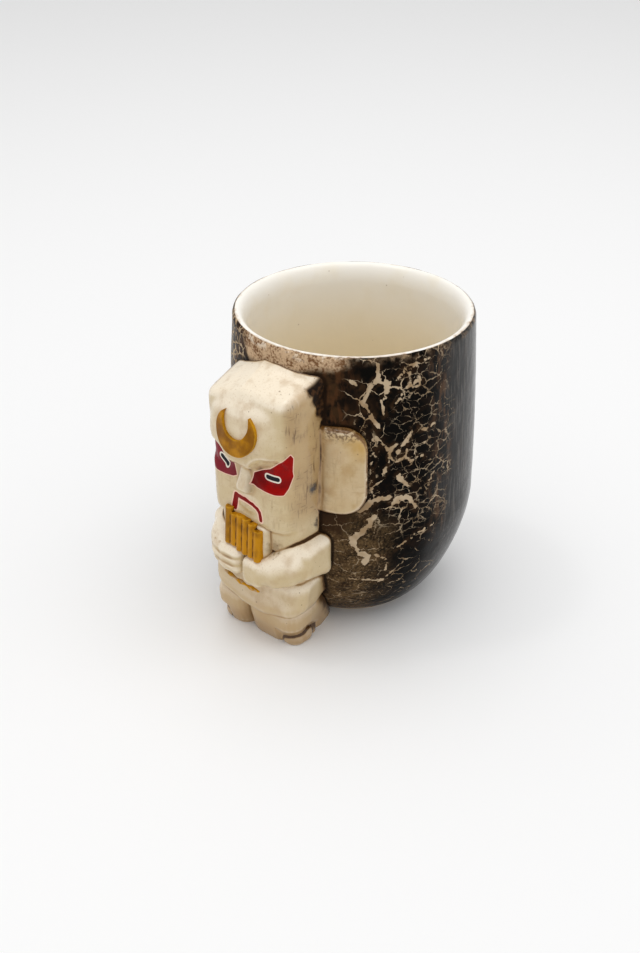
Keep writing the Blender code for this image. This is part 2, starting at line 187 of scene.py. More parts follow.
inner_top = CUP_HEIGHT - LIP_FALL
outer_top = CUP_HEIGHT - LIP_ROUND
under_glaze = 1.2 * GLAZE
clay_foot = cup_radius(DRY_FOOT) - under_glaze
clay_profile = [(0.0, FLOOR - GLAZE)]
clay_profile += wall_points(inner_top, FLOOR - GLAZE, HIDDEN_ROWS, FLOOR, WALL - under_glaze)[::-1]
clay_profile += lip_points(under_glaze, 170.0, 10.0)
clay_profile += wall_points(outer_top, 1.5 * DRY_FOOT, HIDDEN_ROWS, 0.0, under_glaze)
clay_profile += [(clay_foot - inward, height) for inward, height in FOOT_EDGE]
clay_profile += [(0.0, 0.0)]
clay_body = add_piece("clay_body", spun(clay_profile, 128), "bare_clay", "cup_wall")

coat_profile = lip_points(0.0, COAT_EDGE, 0.0, 5)[:-1] + wall_points(outer_top, DRY_FOOT, COAT_ROWS)
coat_profile += wall_points(outer_top, DRY_FOOT, HIDDEN_ROWS, 0.0, GLAZE)[::-1]
coat_profile += lip_points(GLAZE, 0.0, COAT_EDGE, 5)[1:]
coat_bm = spun(coat_profile, 400, True)
uneven(coat_bm, 0.12, 9.0)
uneven(coat_bm, 0.05, 2.5)
crackle_coat = add_piece("dark_coat", coat_bm, "crackle_glaze", "crackle_coat")

liner_profile = [(0.0, FLOOR)] + wall_points(inner_top, FLOOR, LINER_ROWS, FLOOR, WALL)[::-1]
liner_profile += lip_points(0.0, 180.0, COAT_EDGE, 24)[1:]
liner_profile += lip_points(GLAZE, COAT_EDGE, 180.0, 24)
liner_profile += wall_points(inner_top, FLOOR - GLAZE / 2, HIDDEN_ROWS, FLOOR, WALL - GLAZE)[1:]
liner_profile += [(0.0, FLOOR - GLAZE / 2)]
liner_bm = spun(liner_profile, 192)
uneven(liner_bm, 0.10, 12.0)
cup_liner = add_piece("cup_liner", liner_bm, "liner_glaze", "liner_glaze")

# %% [markdown]
# The idol is built the way a potter builds it: lumps of clay, pressed together and wiped smooth. Blocks,
# balls and rolls are plain bmesh shapes. A voxel remesh presses overlapping lumps into one skin, and a
# few passes of smoothing round the joins, which a Boolean would leave sharp.

# %% Lumps of clay
SINK = 1.2


def round_off(bm, edges, radius, segments=4):
    """Round some edges of a lump, with a radius in millimetres."""
    bmesh.ops.bevel(
        bm, geom=edges, offset=radius * MM, affect="EDGES", segments=segments,
        profile=0.5, material=-1, clamp_overlap=True)


def block(low, high, rounding=0.0):
    """Block between two corners given as (x, distance out from the axis, z) in millimetres."""
    first = Vector((low[0], -high[1], low[2])) * MM
    last = Vector((high[0], -low[1], high[2])) * MM
    bm = bmesh.new()
    bmesh.ops.create_cube(bm, size=1.0)
    bmesh.ops.scale(bm, vec=last - first, verts=bm.verts)
    bmesh.ops.translate(bm, vec=(first + last) / 2, verts=bm.verts)
    if rounding:
        round_off(bm, bm.edges[:], rounding)
    return bm


def ball(middle, radii):
    """Ball or egg round a middle (x, out, z), in millimetres."""
    bm = bmesh.new()
    bmesh.ops.create_icosphere(bm, subdivisions=4, radius=MM)
    bmesh.ops.scale(bm, vec=radii, verts=bm.verts)
    bmesh.ops.translate(bm, vec=(middle[0] * MM, -middle[1] * MM, middle[2] * MM), verts=bm.verts)
    return bm


def roll(path, beads=9):
    """Roll of clay as a row of overlapping balls along a path of (middle, radii)."""
    lumps = []
    for (start, start_radii), (end, end_radii) in zip(path, path[1:]):
        for bead in range(beads):
            share = bead / (beads - 1)
            lumps.append(ball(Vector(start).lerp(end, share), Vector(start_radii).lerp(end_radii, share)))
    return lumps


def wipe(bm, passes, verts=None):
    """Smooth a skin, or some of its points, as a wet finger does."""
    for _ in range(passes):
        bmesh.ops.smooth_vert(
            bm, verts=verts or bm.verts, factor=0.5, use_axis_x=True, use_axis_y=True, use_axis_z=True)


def press(lumps, voxel=0.42, passes=5):
    """Press lumps into one skin with a voxel remesh, then wipe it smooth."""
    joined = bmesh.new()
    mesh = bpy.data.meshes.new("lump")
    for lump in lumps:
        lump.to_mesh(mesh)
        lump.free()
        joined.from_mesh(mesh)
    joined.to_mesh(mesh)
    joined.free()
    holder = bpy.data.objects.new("lump", mesh)
    scene.collection.objects.link(holder)
    remesh = holder.modifiers.new("press", "REMESH")
    remesh.mode = "VOXEL"
    remesh.voxel_size = voxel * MM
    skin = bmesh.new()
    skin.from_object(holder, bpy.context.evaluated_depsgraph_get())
    bpy.data.objects.remove(holder)
    bpy.data.meshes.remove(mesh)
    wipe(skin, passes)
    return skin


def seat(bm):
    """Push the back of a piece out to just under the coat, so that it never shows inside the cup."""
    for vert in bm.verts:
        out = math.hypot(vert.co.x, vert.co.y)
        wall = cup_radius(max(vert.co.z, 0.0)) - SINK * MM
        if out < wall:
            vert.co.x *= wall / out
            vert.co.y *= wall / out


print("pieces sink", SINK, "mm into the cup")

# %% [markdown]
# The head is a tall block with a sloping top, a narrower chin and rounded front corners. A pillow of clay
# makes the heavy brow, and small lumps make the nose, the upper lip and the neck. Each is shaped on its
# own, because a box with few points is easy to bend.

# %% Lumps of the head
HEAD_HALF = 17.2
CHIN_HALF = 14.6
HEAD_BACK = 30.0
HEAD_TOP_BACK = 98.4
HEAD_TOP_FRONT = 89.0
HEAD_MIDDLE = 60.0
JAW = 40.4
CHIN = 45.4
BROW_HALF = 16.6
BROW_LOW = 64.6
BROW_PROUD = 4.2
BROW_LIFT = 7.8
BROW_SWEEP = 4.4
BROW_LEAN = 2.4
BROW_SLOPE = 0.465
BROW_SLOPE_FROM = 47.0
NOSE_MIDDLE = 0.5
NOSE_TAPER = 0.55
NOSE_LEAN = 2.6
NECK_TAPER = 0.91
ON_FACE = 44.0
face = FACE / MM


def ahead(edges, out):
    """Edges with both ends further out from the axis than a distance in millimetres."""
    return [edge for edge in edges if all(vert.co.y < -out * MM for vert in edge.verts)]


def rise(edge):
    """Difference in height between the ends of an edge, in millimetres."""
    return abs(edge.verts[0].co.z - edge.verts[1].co.z) / MM


skull = block((-HEAD_HALF, HEAD_BACK, JAW), (HEAD_HALF, face, HEAD_TOP_BACK))
for vert in skull.verts:
    at_front = vert.co.y < -ON_FACE * MM
    if at_front and vert.co.z < HEAD_MIDDLE * MM:
        vert.co.x *= CHIN_HALF / HEAD_HALF
        vert.co.z = CHIN * MM
    elif at_front:
        vert.co.z = HEAD_TOP_FRONT * MM
round_off(skull, ahead([edge for edge in skull.edges if rise(edge) > 20.0], ON_FACE), 5.0, 5)
sharp = [edge for edge in skull.edges if edge.calc_face_angle(0.0) > 0.7]
round_off(skull, [edge for edge in sharp if edge.verts[0].co.z > HEAD_MIDDLE * MM], 2.2)
chin_edges = ahead([edge for edge in sharp if edge.is_valid], ON_FACE)
round_off(skull, [edge for edge in chin_edges if edge.verts[0].co.z < HEAD_MIDDLE * MM], 3.0)

brow = block((-BROW_HALF, 41.0, BROW_LOW), (BROW_HALF, face + BROW_PROUD, HEAD_TOP_FRONT + 1.5), 6.0)
bmesh.ops.subdivide_edges(brow, edges=brow.edges[:], cuts=2, use_grid_fill=True)
for vert in brow.verts:
    x, y, z = vert.co / MM
    across = abs(x) / BROW_HALF
    depth = (HEAD_TOP_FRONT - z) / (HEAD_TOP_FRONT - BROW_LOW)
    y += BROW_SWEEP * across ** 2.2 + BROW_LEAN * max(1.0 - depth, 0.0) ** 2
    z += BROW_LIFT * max(depth, 0.0) * across ** 2
    z -= BROW_SLOPE * max(-y - BROW_SLOPE_FROM, 0.0) * (1.0 - depth)
    vert.co = Vector((x, y, z)) * MM

nose = block((-2.5, 45.0, 57.2), (3.9, face + 3.0, 67.0))
for vert in nose.verts:
    if vert.co.z > HEAD_MIDDLE * MM:
        vert.co.x = (NOSE_MIDDLE + NOSE_TAPER * (vert.co.x / MM - NOSE_MIDDLE)) * MM
        vert.co.y += NOSE_LEAN * MM if vert.co.y < -50 * MM else 0.0
round_off(nose, nose.edges[:], 1.8)
upper_lip = ball((1.8, face - 0.8, 52.6), (6.2, 1.5, 3.8))

neck = block((-HEAD_HALF, HEAD_BACK, 37.6), (HEAD_HALF, 48.2, 56.0))
for vert in neck.verts:
    if vert.co.y < -ON_FACE * MM:
        vert.co.x *= NECK_TAPER
neck_front = ahead(neck.edges, ON_FACE)
round_off(neck, [edge for edge in neck_front if edge.verts[0].co.x * edge.verts[1].co.x > 0], 7.0, 5)
print("the face stands", round(face, 1), "mm out from the axis")

# %% [markdown]
# All the lumps of the head are pressed into one skin. The potter's left and right don't quite match: the
# top falls away on the left and a little at the right back corner. Shallow sockets are pushed in for the
# eyes.

# %% Head
SOCKET_DEPTH = 1.2
SOCKET_X = 10.5
SOCKET_Z = 66.0
SOCKET_HALF_WIDTH = 6.5
SOCKET_HALF_HEIGHT = 6.0
LEFT_FALL = 6.4
RIGHT_FALL = 2.8
TOP_EDGE_PASSES = 14


def ramp(value, start, length):
    """0 up to a start, then rising by 1 over each length."""
    return max(value - start, 0.0) / length


head_bm = press([skull, neck, brow, nose, upper_lip])
top_edge = [vert for vert in head_bm.verts if vert.co.z > 79 * MM and vert.co.y < -45 * MM]
wipe(head_bm, TOP_EDGE_PASSES, top_edge)
for vert in head_bm.verts:
    x, y, z = vert.co / MM
    upward = ramp(z, 76.0, 18.0)
    backward = min(ramp(y, -47.0, 10.0), 1.0)
    z -= LEFT_FALL * ramp(-x, 2.0, 14.4) * upward
    z -= RIGHT_FALL * ramp(x, 3.0, 14.2) * backward * min(upward, 1.0)
    if y < -ON_FACE:
        sideways_share = (abs(x) - SOCKET_X) / SOCKET_HALF_WIDTH
        upward_share = (z - SOCKET_Z) / SOCKET_HALF_HEIGHT
        socket = max(1.0 - sideways_share ** 2 - upward_share ** 2, 0.0)
        y += SOCKET_DEPTH * min(2.0 * socket, 1.0)
    vert.co = Vector((x, y, z)) * MM
seat(head_bm)
uneven(head_bm, 0.25, 9.0)
uneven(head_bm, 0.08, 3.0)
head = add_piece("head", head_bm, "idol_glaze", "head_block", "brow_dome", "nose")

# %% [markdown]
# An ear is a slab that lies on the curve of the wall. It is made flat, with rounded corners, and then
# wrapped: the sideways place becomes an angle round the cup. The same function makes both ears.

# %% Ears
EAR_NEAR = 13.0
EAR_FAR = 31.8
EAR_LOW = 49.6
EAR_HIGH = 78.4
EAR_PROUD = 2.3
EAR_DIP = 1.6


def mirrored(bm, side):
    """Leave a right-hand lump as it is, or mirror it for the left side."""
    if side < 0:
        bmesh.ops.scale(bm, vec=(-1.0, 1.0, 1.0), verts=bm.verts)
        bmesh.ops.reverse_faces(bm, faces=bm.faces)
    return bm


def ear(side):
    """Ear slab, wrapped round the wall; side is -1 on the left and 1 on the right."""
    slab = block((EAR_NEAR, -1.6, EAR_LOW), (EAR_FAR, EAR_PROUD, EAR_HIGH))
    outer = [edge for edge in slab.edges if all(vert.co.x > (EAR_FAR - 1) * MM for vert in edge.verts)]
    round_off(slab, [edge for edge in outer if rise(edge) < 1.0], 7.5, 7)
    round_off(slab, [edge for edge in slab.edges if edge.calc_face_angle(0.0) > 1.0], 0.9, 3)
    bm = press([slab], passes=4)
    for vert in bm.verts:
        angle = vert.co.x / BELLY_RADIUS
        dip = EAR_DIP * min(ramp(-vert.co.x / MM, -26.0, 8.0), 1.0) ** 2
        out = cup_radius(vert.co.z) - vert.co.y - dip * MM
        vert.co.x = out * math.sin(angle)
        vert.co.y = -out * math.cos(angle)
    bmesh.ops.recalc_face_normals(bm, faces=bm.faces)
    mirrored(bm, side)
    uneven(bm, 0.22, 6.0)
    return bm


left_ear = add_piece("left_ear", ear(-1), "idol_glaze", "left_ear")
right_ear = add_piece("right_ear", ear(1), "idol_glaze", "right_ear")

# %% [markdown]
# The trunk fills the space under the jaw and carries the arms. Each arm is a flat upper arm on the wall,
# a roll that slopes down from the elbow, and a fist under the beard. The left arm is a mirrored right arm
# with a wider fist, and the fingers are faint waves in it.

# %% Trunk and arms
KNUCKLES = 51.5
FINGER_DEPTH = 0.16
FINGER_TURN = 2.4

trunk_bm = press([
    block((-16.4, 30.0, 23.0), (16.4, 45.0, 42.0), 3.0),
    block((-13.6, 36.0, 23.0), (13.6, 47.4, 46.0), 4.0),
    block((-7.0, 40.0, 30.0), (8.4, 50.6, 47.0), 2.0)])
seat(trunk_bm)
uneven(trunk_bm, 0.25, 7.0)
trunk = add_piece("trunk", trunk_bm, "idol_glaze", "torso")


def arm(side, elbow_x, fist_near, fist_far, fist_low, fist_high):
    """Arm and fist; side is -1 on the left and 1 on the right, the other places are for the right side."""
    upper = block((9.0, 32.5, 26.0), (elbow_x, 46.4, 42.0))
    for vert in upper.verts:
        if vert.co.y < -40 * MM:
            vert.co.z += 3.2 * MM if vert.co.z < 34 * MM else -1.6 * MM
    round_off(upper, upper.edges[:], 3.0)
    fist_middle = ((fist_near + fist_far) / 2, 49.4, (fist_low + fist_high) / 2)
    forearm = roll([
        ((elbow_x - 5.4, 43.0, 34.4), (5.2, 5.2, 6.6)),
        ((elbow_x - 7.0, 46.2, 33.0), (5.2, 5.0, 6.6)),
        ((10.0, 48.6, 30.8), (5.2, 4.8, 5.7)),
        (fist_middle, (4.2, 4.4, 4.8))])
    fist = block((fist_near, 44.0, fist_low), (fist_far, 53.8, fist_high), 2.6)
    bm = mirrored(press([upper, fist] + forearm), side)
    for vert in bm.verts:
        if vert.co.y < -KNUCKLES * MM and side < 0:
            vert.co.y += FINGER_DEPTH * MM * math.sin(FINGER_TURN * vert.co.z / MM)
    seat(bm)
    uneven(bm, 0.25, 7.0)
    return bm


right_arm = add_piece(
    "right_arm", arm(1, 20.7, -0.4, 8.2, 24.4, 34.4), "idol_glaze", "right_arm", "right_hand")
left_arm = add_piece(
    "left_arm", arm(-1, 19.6, 0.6, 10.4, 25.6, 35.8), "idol_glaze", "left_arm", "left_hand")

# %% [markdown]
# Below the arms comes a baggy tunic, whose hem dips in the middle. It is a rounded block with a few more
# points, which are lifted towards the sides, leaned back at the top and drawn in towards the cup.

# %% Skirt
SKIRT_HALF = 19.0
SKIRT_LOW = 9.8
SKIRT_HIGH = 27.0
HEM_RISE = 5.0
SKIRT_LEAN = 2.4
SKIRT_SWEEP = 1.6

skirt_lump = block((-SKIRT_HALF - 0.2, 22.0, SKIRT_LOW), (SKIRT_HALF - 1.0, 49.2, SKIRT_HIGH), 4.6)
bmesh.ops.subdivide_edges(skirt_lump, edges=skirt_lump.edges[:], cuts=2, use_grid_fill=True)
for vert in skirt_lump.verts:
    x, y, z = vert.co / MM
    lowness = (SKIRT_HIGH - z) / (SKIRT_HIGH - SKIRT_LOW)
    across = x / SKIRT_HALF
    z += HEM_RISE * abs(across) ** 1.6 * lowness
    y += SKIRT_LEAN * (1.0 - lowness) + SKIRT_SWEEP * across ** 4
    x *= 1.0 - 0.3 * ramp(y, -40.0, 18.0)
    vert.co = Vector((x, y, z)) * MM
skirt_bm = press([skirt_lump])
seat(skirt_bm)
uneven(skirt_bm, 0.4, 7.0)
skirt = add_piece("skirt", skirt_bm, "idol_glaze", "skirt")

# %% [markdown]
# Two short trouser legs reach the table, and a blunt foot looks out of each at its outer front corner.
# They are pieces of their own, so the hems stay crisp. The potter parted the legs well to the left, and
# towards the back they narrow to the cup's bottom.

# %% Legs and feet
def stand(bm, side):
    """Mirror a leg or foot, flatten what would be under the table and seat it on the cup."""
    mirrored(bm, side)
    for vert in bm.verts:
        vert.co.z = max(vert.co.z, 0.0)
    seat(bm)
    uneven(bm, 0.25, 6.0, [vert for vert in bm.verts if vert.co.z > MM])
    return bm


def leg(side, near, far, front):
    """Trouser leg between two places across; side is -1 on the left and 1 on the right."""
    trouser = block((near, 22.0, -5.0), (far, front, 15.0), 4.4)
    bmesh.ops.subdivide_edges(trouser, edges=trouser.edges[:], cuts=2, use_grid_fill=True)
    for vert in trouser.verts:
        x, y, z = vert.co / MM
        lowness = min(ramp(-z, -11.0, 11.0), 1.0)
        outward = min(ramp(x, near, far - near), 1.0)
        at_toes = outward > 0.6 and z < 4.6 and y < -33.0
        y += 2.8 * lowness ** 2 + 1.6 * at_toes
        x -= (0.8 * lowness + 1.4 * at_toes + 0.28 * ramp(y, -38.0, 1.0)) * outward
        vert.co = Vector((x, y, z)) * MM
    return stand(press([trouser], 0.38, 3), side)


def foot(side, near, far, front):
    """Foot that looks out of a trouser leg, with a broad toe and a small one."""
    lumps = [
        block((near, 31.0, -4.0), (far - 2.0, front - 2.0, 4.8), 2.6),
        ball((near + 4.0, front - 3.6, 1.8), (4.2, 3.8, 3.4)),
        ball((far - 2.5, front - 5.8, 2.2), (2.6, 3.4, 2.9))]
    return stand(press(lumps, 0.34, 2), side)


left_leg = add_piece("left_leg", leg(-1, 5.8, 18.8, 47.4), "idol_glaze", "left_leg")
right_leg = add_piece("right_leg", leg(1, -5.6, 15.0, 46.6), "idol_glaze", "right_leg")
left_foot = add_piece("left_foot", foot(-1, 9.6, 17.4, 44.8), "idol_glaze", "left_foot")
right_foot = add_piece("right_foot", foot(1, 6.2, 14.6, 43.9), "idol_glaze", "right_foot")

# %% [markdown]
# The beard is a row of flat strands pressed side by side, so the grooves between them are real. The belt
# is a thin uneven cord, half sunk in the skirt, and thick and thin by turns.

# %% Beard and belt
BEARD_LEFT = -7.5
BEARD_TOP = 49.4
BEARD_LEAN = 0.06
STRAND_WIDTH = 2.4
STRAND_OVERLAP = 0.2
STRANDS = ((36.2, 49.0), (36.2, 47.4), (35.2, 47.7), (35.0, 47.4), (34.9, 46.6), (34.3, 45.0))
BELT_LEFT = -10.6
BELT_HEIGHT = 21.8
BELT_KNOTS = 7

strands = []
for strand, (strand_low, strand_high) in enumerate(STRANDS):
    start = BEARD_LEFT + strand * STRAND_WIDTH - STRAND_OVERLAP
    end = start + STRAND_WIDTH + 2 * STRAND_OVERLAP
    lump = block((start, 48.0, strand_low), (end, face + 1.8, strand_high))
    round_off(lump, [edge for edge in ahead(lump.edges, 50.0) if rise(edge) > 5.0], 1.35, 5)
    for vert in lump.verts:
        vert.co.y -= BEARD_LEAN * max(BEARD_TOP * MM - vert.co.z, 0.0)
    strands.append(lump)
beard = add_piece("beard", press(strands, 0.26, 1), "gilt", "beard")

belt_path = []
for knot in range(BELT_KNOTS):
    across = BELT_LEFT + 2.4 * knot
    size = 0.58 + 0.26 * math.sin(2.7 * knot)
    belt_path.append(((across, face - 0.012 * across ** 2, BELT_HEIGHT - 0.1 * knot), (1.1, size, size)))
belt = add_piece("belt", press(roll(belt_path, 4), 0.3, 2), "gilt", "belt")

# %% [markdown]
# The crest is an upturned crescent. A short edge is spun through part of a circle, its ends are drawn in
# to points, and it is given its thickness by an extrusion. Each point is then dropped on to the curved
# brow.

# %% Crest
CREST_MIDDLE = 79.4
CREST_RADIUS = 6.3
CREST_HALF_WIDTH = 2.6
CREST_SWEEP = math.radians(262.0)
CREST_DEPTH = 2.2
CREST_PROUD = 1.0
CREST_TIP = 0.03

crest_bm = bmesh.new()
first_angle = -math.pi / 2 - CREST_SWEEP / 2
outward = Vector((math.cos(first_angle), 0.0, math.sin(first_angle)))
ends = [crest_bm.verts.new(outward * 0.5), crest_bm.verts.new(outward * 1.5)]
bmesh.ops.subdivide_edges(crest_bm, edges=[crest_bm.edges.new(ends)], cuts=9)
bmesh.ops.spin(
    crest_bm, geom=crest_bm.verts[:] + crest_bm.edges[:], cent=(0, 0, 0), axis=(0, -1, 0),
    angle=CREST_SWEEP, steps=96, use_merge=False, use_duplicate=False)
for vert in crest_bm.verts:
    radius = math.hypot(vert.co.x, vert.co.z)
    from_middle = abs(2 * math.atan2(vert.co.x, -vert.co.z) / CREST_SWEEP)
    taper = max(1.0 - from_middle ** 2.2, CREST_TIP)
    spread = (CREST_RADIUS + 2 * (radius - 1.0) * CREST_HALF_WIDTH * taper) * MM / radius
    vert.co.x *= spread
    vert.co.z *= spread
raised = bmesh.ops.extrude_face_region(crest_bm, geom=crest_bm.faces[:])
crest_front = [item for item in raised["geom"] if isinstance(item, bmesh.types.BMVert)]
bmesh.ops.translate(crest_bm, vec=(0.0, -CREST_DEPTH * MM, 0.0), verts=crest_front)
bmesh.ops.recalc_face_normals(crest_bm, faces=crest_bm.faces)
round_off(crest_bm, [edge for edge in crest_bm.edges if edge.calc_face_angle(0.0) > 1.0], 0.35, 3)

head_tree = BVHTree.FromObject(head, bpy.context.evaluated_depsgraph_get())
for vert in crest_bm.verts:
    vert.co.z += CREST_MIDDLE * MM
    hit = head_tree.ray_cast(Vector((vert.co.x, -2 * FACE, vert.co.z)), Vector((0, 1, 0)))[0]
    vert.co.y += hit.y + (CREST_DEPTH - CREST_PROUD) * MM
crest = add_piece("crest", crest_bm, "gilt", "crest")

# %% [markdown]
# The face is painted. Every point of the head gets a few numbers: how deep it lies inside the red
# patches, the pale eye slots with their dark middles, and the thin mouth line. The shader paints where a
# number passes 5, so pieces without these numbers, which read as 0, stay unpainted. The paint wraps round
# the corner of the face, so distance back along the side counts as distance across.

# %% Painted face
EYE_PATCH = (
    (4.0, 64.4), (9.4, 67.0), (13.8, 70.8), (17.2, 73.4), (18.1, 72.0), (17.8, 67.4), (18.0, 65.6),
    (16.3, 61.8), (14.6, 59.7), (12.0, 59.4), (8.0, 59.4), (5.0, 59.7), (3.2, 60.7))
RIGHT_SLOT = ((8.4, 64.0), (12.4, 64.3))
LEFT_SLOT = ((-7.9, 62.5), (-10.2, 64.4))
MOUTH = (
    (-4.6, 49.2), (-3.7, 53.6), (-1.9, 53.8), (0.5, 53.9), (3.6, 53.3), (5.2, 52.4), (5.9, 51.3),
    (6.2, 48.4))
MOUTH_END_WIDER = 0.4
PAINT_EDGE = 5.0
UNPAINTED = -100.0
WRAP = 0.7


def line_distance(spots, line):
    """Distance of many flat spots from a line through a few points."""
    nearest = np.full(len(spots), 1000.0)
    for start, end in zip(np.array(line), np.array(line)[1:]):
        along = end - start
        share = np.clip((spots - start) @ along / (along @ along), 0.0, 1.0)
        nearest = np.minimum(nearest, np.linalg.norm(spots - start - share[:, None] * along, axis=1))
    return nearest


def inside(spots, outline):
    """True for the spots inside a closed outline."""
    within = np.zeros(len(spots), bool)
    for (x0, z0), (x1, z1) in zip(outline, outline[1:] + outline[:1]):
        crosses = (z0 > spots[:, 1]) != (z1 > spots[:, 1])
        level = (spots[:, 1] - z0) / ((z1 - z0) or 1.0)
        within ^= crosses & (spots[:, 0] < x0 + level * (x1 - x0))
    return within


def read_points(piece, what="co"):
    """Places or normals of a piece's points, as rows of three numbers."""
    values = np.empty(3 * len(piece.data.vertices))
    piece.data.vertices.foreach_get(what, values)
    return values.reshape(-1, 3)


def store(piece, name, values):
    """Keep one number for each point of a piece, for its shader to read."""
    layer = piece.data.attributes.new(name, "FLOAT", "POINT")
    layer.data.foreach_set("value", values.astype(np.float32))


head_points = read_points(head) / MM
set_back = np.maximum(face + head_points[:, 1] - SOCKET_DEPTH, 0.0)
wrapped = head_points[:, 0] + WRAP * np.sign(head_points[:, 0]) * set_back
front = np.stack([wrapped, head_points[:, 2]], axis=1)
folded = np.stack([np.abs(wrapped), head_points[:, 2]], axis=1)
patch_depth = line_distance(folded, EYE_PATCH + EYE_PATCH[:1])
patch_depth *= np.where(inside(folded, EYE_PATCH), 1.0, -1.0)
slot_apart = np.minimum(line_distance(front, RIGHT_SLOT), line_distance(front, LEFT_SLOT))
mouth_apart = np.minimum(line_distance(front, MOUTH), line_distance(front, MOUTH[:2]) - MOUTH_END_WIDER)
on_front = np.where(head_points[:, 1] < -40.0, PAINT_EDGE, UNPAINTED)
store(head, "patch", on_front + patch_depth)
store(head, "slot", on_front - slot_apart)
store(head, "mouth", on_front - mouth_apart)
print("painted points:", int((patch_depth > 0).sum()))

# %% [markdown]
# Brown wash was wiped over the figure and stayed where a cloth doesn't reach: in hollows and where two
# pieces meet, where it is also painted shade between the parts. Hollows are found by smoothing a copy and
# seeing which points rise; those that sink are the ridges, where the glaze wears pale and the pale is also
# a painted highlight. Meetings are found by the distance to the other pieces. More numbers are kept: how
# far a point faces up, how far it turns away on an ear's rim, and, with a long and a short reach, how near
# each point of the coat is to the idol; the short reach places a painted shadow on the coat beside the
# figure.

# %% Wash in the hollows
RIDGE_HEIGHT = 0.3
HOLLOW_DEPTH = 0.22
HEAD_HOLLOW_DEPTH = 0.34
COAT_REACH = 1.2
STAIN_REACH = 7.0
CONTACT_REACH = 1.4
idol = [
    head, left_ear, right_ear, trunk, left_arm, right_arm, skirt,
    left_leg, right_leg, left_foot, right_foot]
gilded = [beard, belt, crest]
depsgraph = bpy.context.evaluated_depsgraph_get()
trees = {piece.name: BVHTree.FromObject(piece, depsgraph) for piece in idol + gilded + [crackle_coat]}


def hollows(piece, passes=14):
    """How far each point rises, in millimetres, when the piece is wiped smooth."""
    bm = bmesh.new()
    bm.from_mesh(piece.data)
    bm.normal_update()
    before = [(vert.co.copy(), vert.normal.copy()) for vert in bm.verts]
    wipe(bm, passes)
    rises = [(vert.co - start).dot(normal) / MM for vert, (start, normal) in zip(bm.verts, before)]
    bm.free()
    return np.array(rises)


def closeness(piece, others, reach):
    """1 where a piece touches one of the others, falling to 0 at a distance in millimetres."""
    near = []
    for vert in piece.data.vertices:
        gap = reach * MM
        for other in others:
            found = trees[other.name].find_nearest(vert.co, gap)[3]
            gap = gap if found is None else min(gap, found)
        near.append(1.0 - gap / (reach * MM))
    return np.array(near)


cracked_joints = {
    head: ([left_arm, right_arm], 1.0), left_arm: ([head], 1.0), right_arm: ([head], 1.0),
    left_foot: ([left_leg], 1.2), right_foot: ([right_leg], 1.2)}
coat_reach = {
    left_ear: 0.6, right_ear: 0.6, head: 0.6, skirt: 3.0, left_leg: 6.0, right_leg: 6.0,
    left_foot: 6.0, right_foot: 6.0}
# Where pieces meet, and in the shoulder and toe creases, the wash is partly painted shade between the
# parts.
for piece in idol + gilded:
    others = [other for other in idol if other is not piece and piece in idol]
    rises = hollows(piece)
    store(piece, "ridge", np.clip(-rises / RIDGE_HEIGHT, 0.0, 1.0))
    hollow = np.clip(rises / (HEAD_HOLLOW_DEPTH if piece is head else HOLLOW_DEPTH), 0.0, 0.7)
    wash_and_shade = hollow + 0.5 * closeness(piece, others, 0.8)
    wash_and_shade += closeness(piece, [crackle_coat], coat_reach.get(piece, COAT_REACH))
    if piece in cracked_joints:
        near_wall = np.clip((read_points(piece)[:, 1] / MM + 47.0) / 4.0, 0.0, 1.0)
        wash_and_shade += 2.2 * near_wall * closeness(piece, *cracked_joints[piece])
    store(piece, "wash", np.clip(wash_and_shade, 0.0, 1.0))
    normals = read_points(piece, "normal")
    store(piece, "facing_up", normals[:, 2])
    if piece in (left_ear, right_ear):
        from_axis = read_points(piece)[:, :2]
        from_axis /= np.linalg.norm(from_axis, axis=1, keepdims=True)
        store(piece, "rim", 1.0 - np.sum(from_axis * normals[:, :2], axis=1))
store(crackle_coat, "stain", closeness(crackle_coat, idol, STAIN_REACH))
# The short reach marks where the coat gets a painted shadow beside the figure.
store(crackle_coat, "contact_shadow", closeness(crackle_coat, idol, CONTACT_REACH))
print("wash_and_shade", len(idol + gilded), "pieces")

# %% [markdown]
# As the dark coat dried it shrank and split, and the pale clay shows through the cracks. The broad cracks
# beside the figure are listed, each with its width and a line of (angle round the cup, height);
# their edges wander with some noise. Two rings mark burst bubbles. The fine nets are left to the shader.

# %% Broad cracks in the coat
CRACKS = (
    (1.2, (50, 98), (51, 94), (46, 90), (44, 86), (46, 84), (51, 78)),
    (0.9, (50, 93), (55, 92), (59, 93), (64, 96), (75, 97)),
    (0.7, (46, 91), (42, 91), (36, 94)),
    (0.7, (51, 94), (55, 89), (52, 86), (53, 82)),
    (0.6, (64, 96), (66, 92), (63, 89), (57, 84)),
    (0.5, (49, 77), (50, 74), (48, 65), (46, 56)),
    (0.8, (63, 71), (67, 76), (74, 75), (79, 76)),
    (0.6, (50, 75), (56, 70), (56, 67), (53, 62)),
    (0.8, (63, 68), (66, 65), (72, 66)),
    (1.7, (43, 50), (48, 53), (56, 54)),
    (1.7, (57, 51), (61, 54), (67, 52), (69, 49)),
    (1.2, (60, 61), (65, 57)),
    (1.8, (50, 48), (47, 45), (40, 39), (43, 35), (47, 33), (46, 30)),
    (0.7, (51, 33), (56, 31), (57, 26)),
    (0.7, (61, 35), (71, 39), (80, 40)),
    (0.5, (39, 23), (47, 22), (56, 21), (62, 26)),
    (0.6, (74, 53), (79, 59)))
BUBBLES = ((60, 69, 2.7, 0.9), (68, 91, 1.8, 0.6))
BUBBLE_HEART = 0.8
WALL_RADIUS = 39.0
DEGREE = math.pi * WALL_RADIUS / 180.0


def wandering(points, length):
    """Soft noise in three directions at each of some points, with lumps of a length in millimetres."""
    return np.array([noise.noise_vector(Vector(point) / length)[:] for point in points])


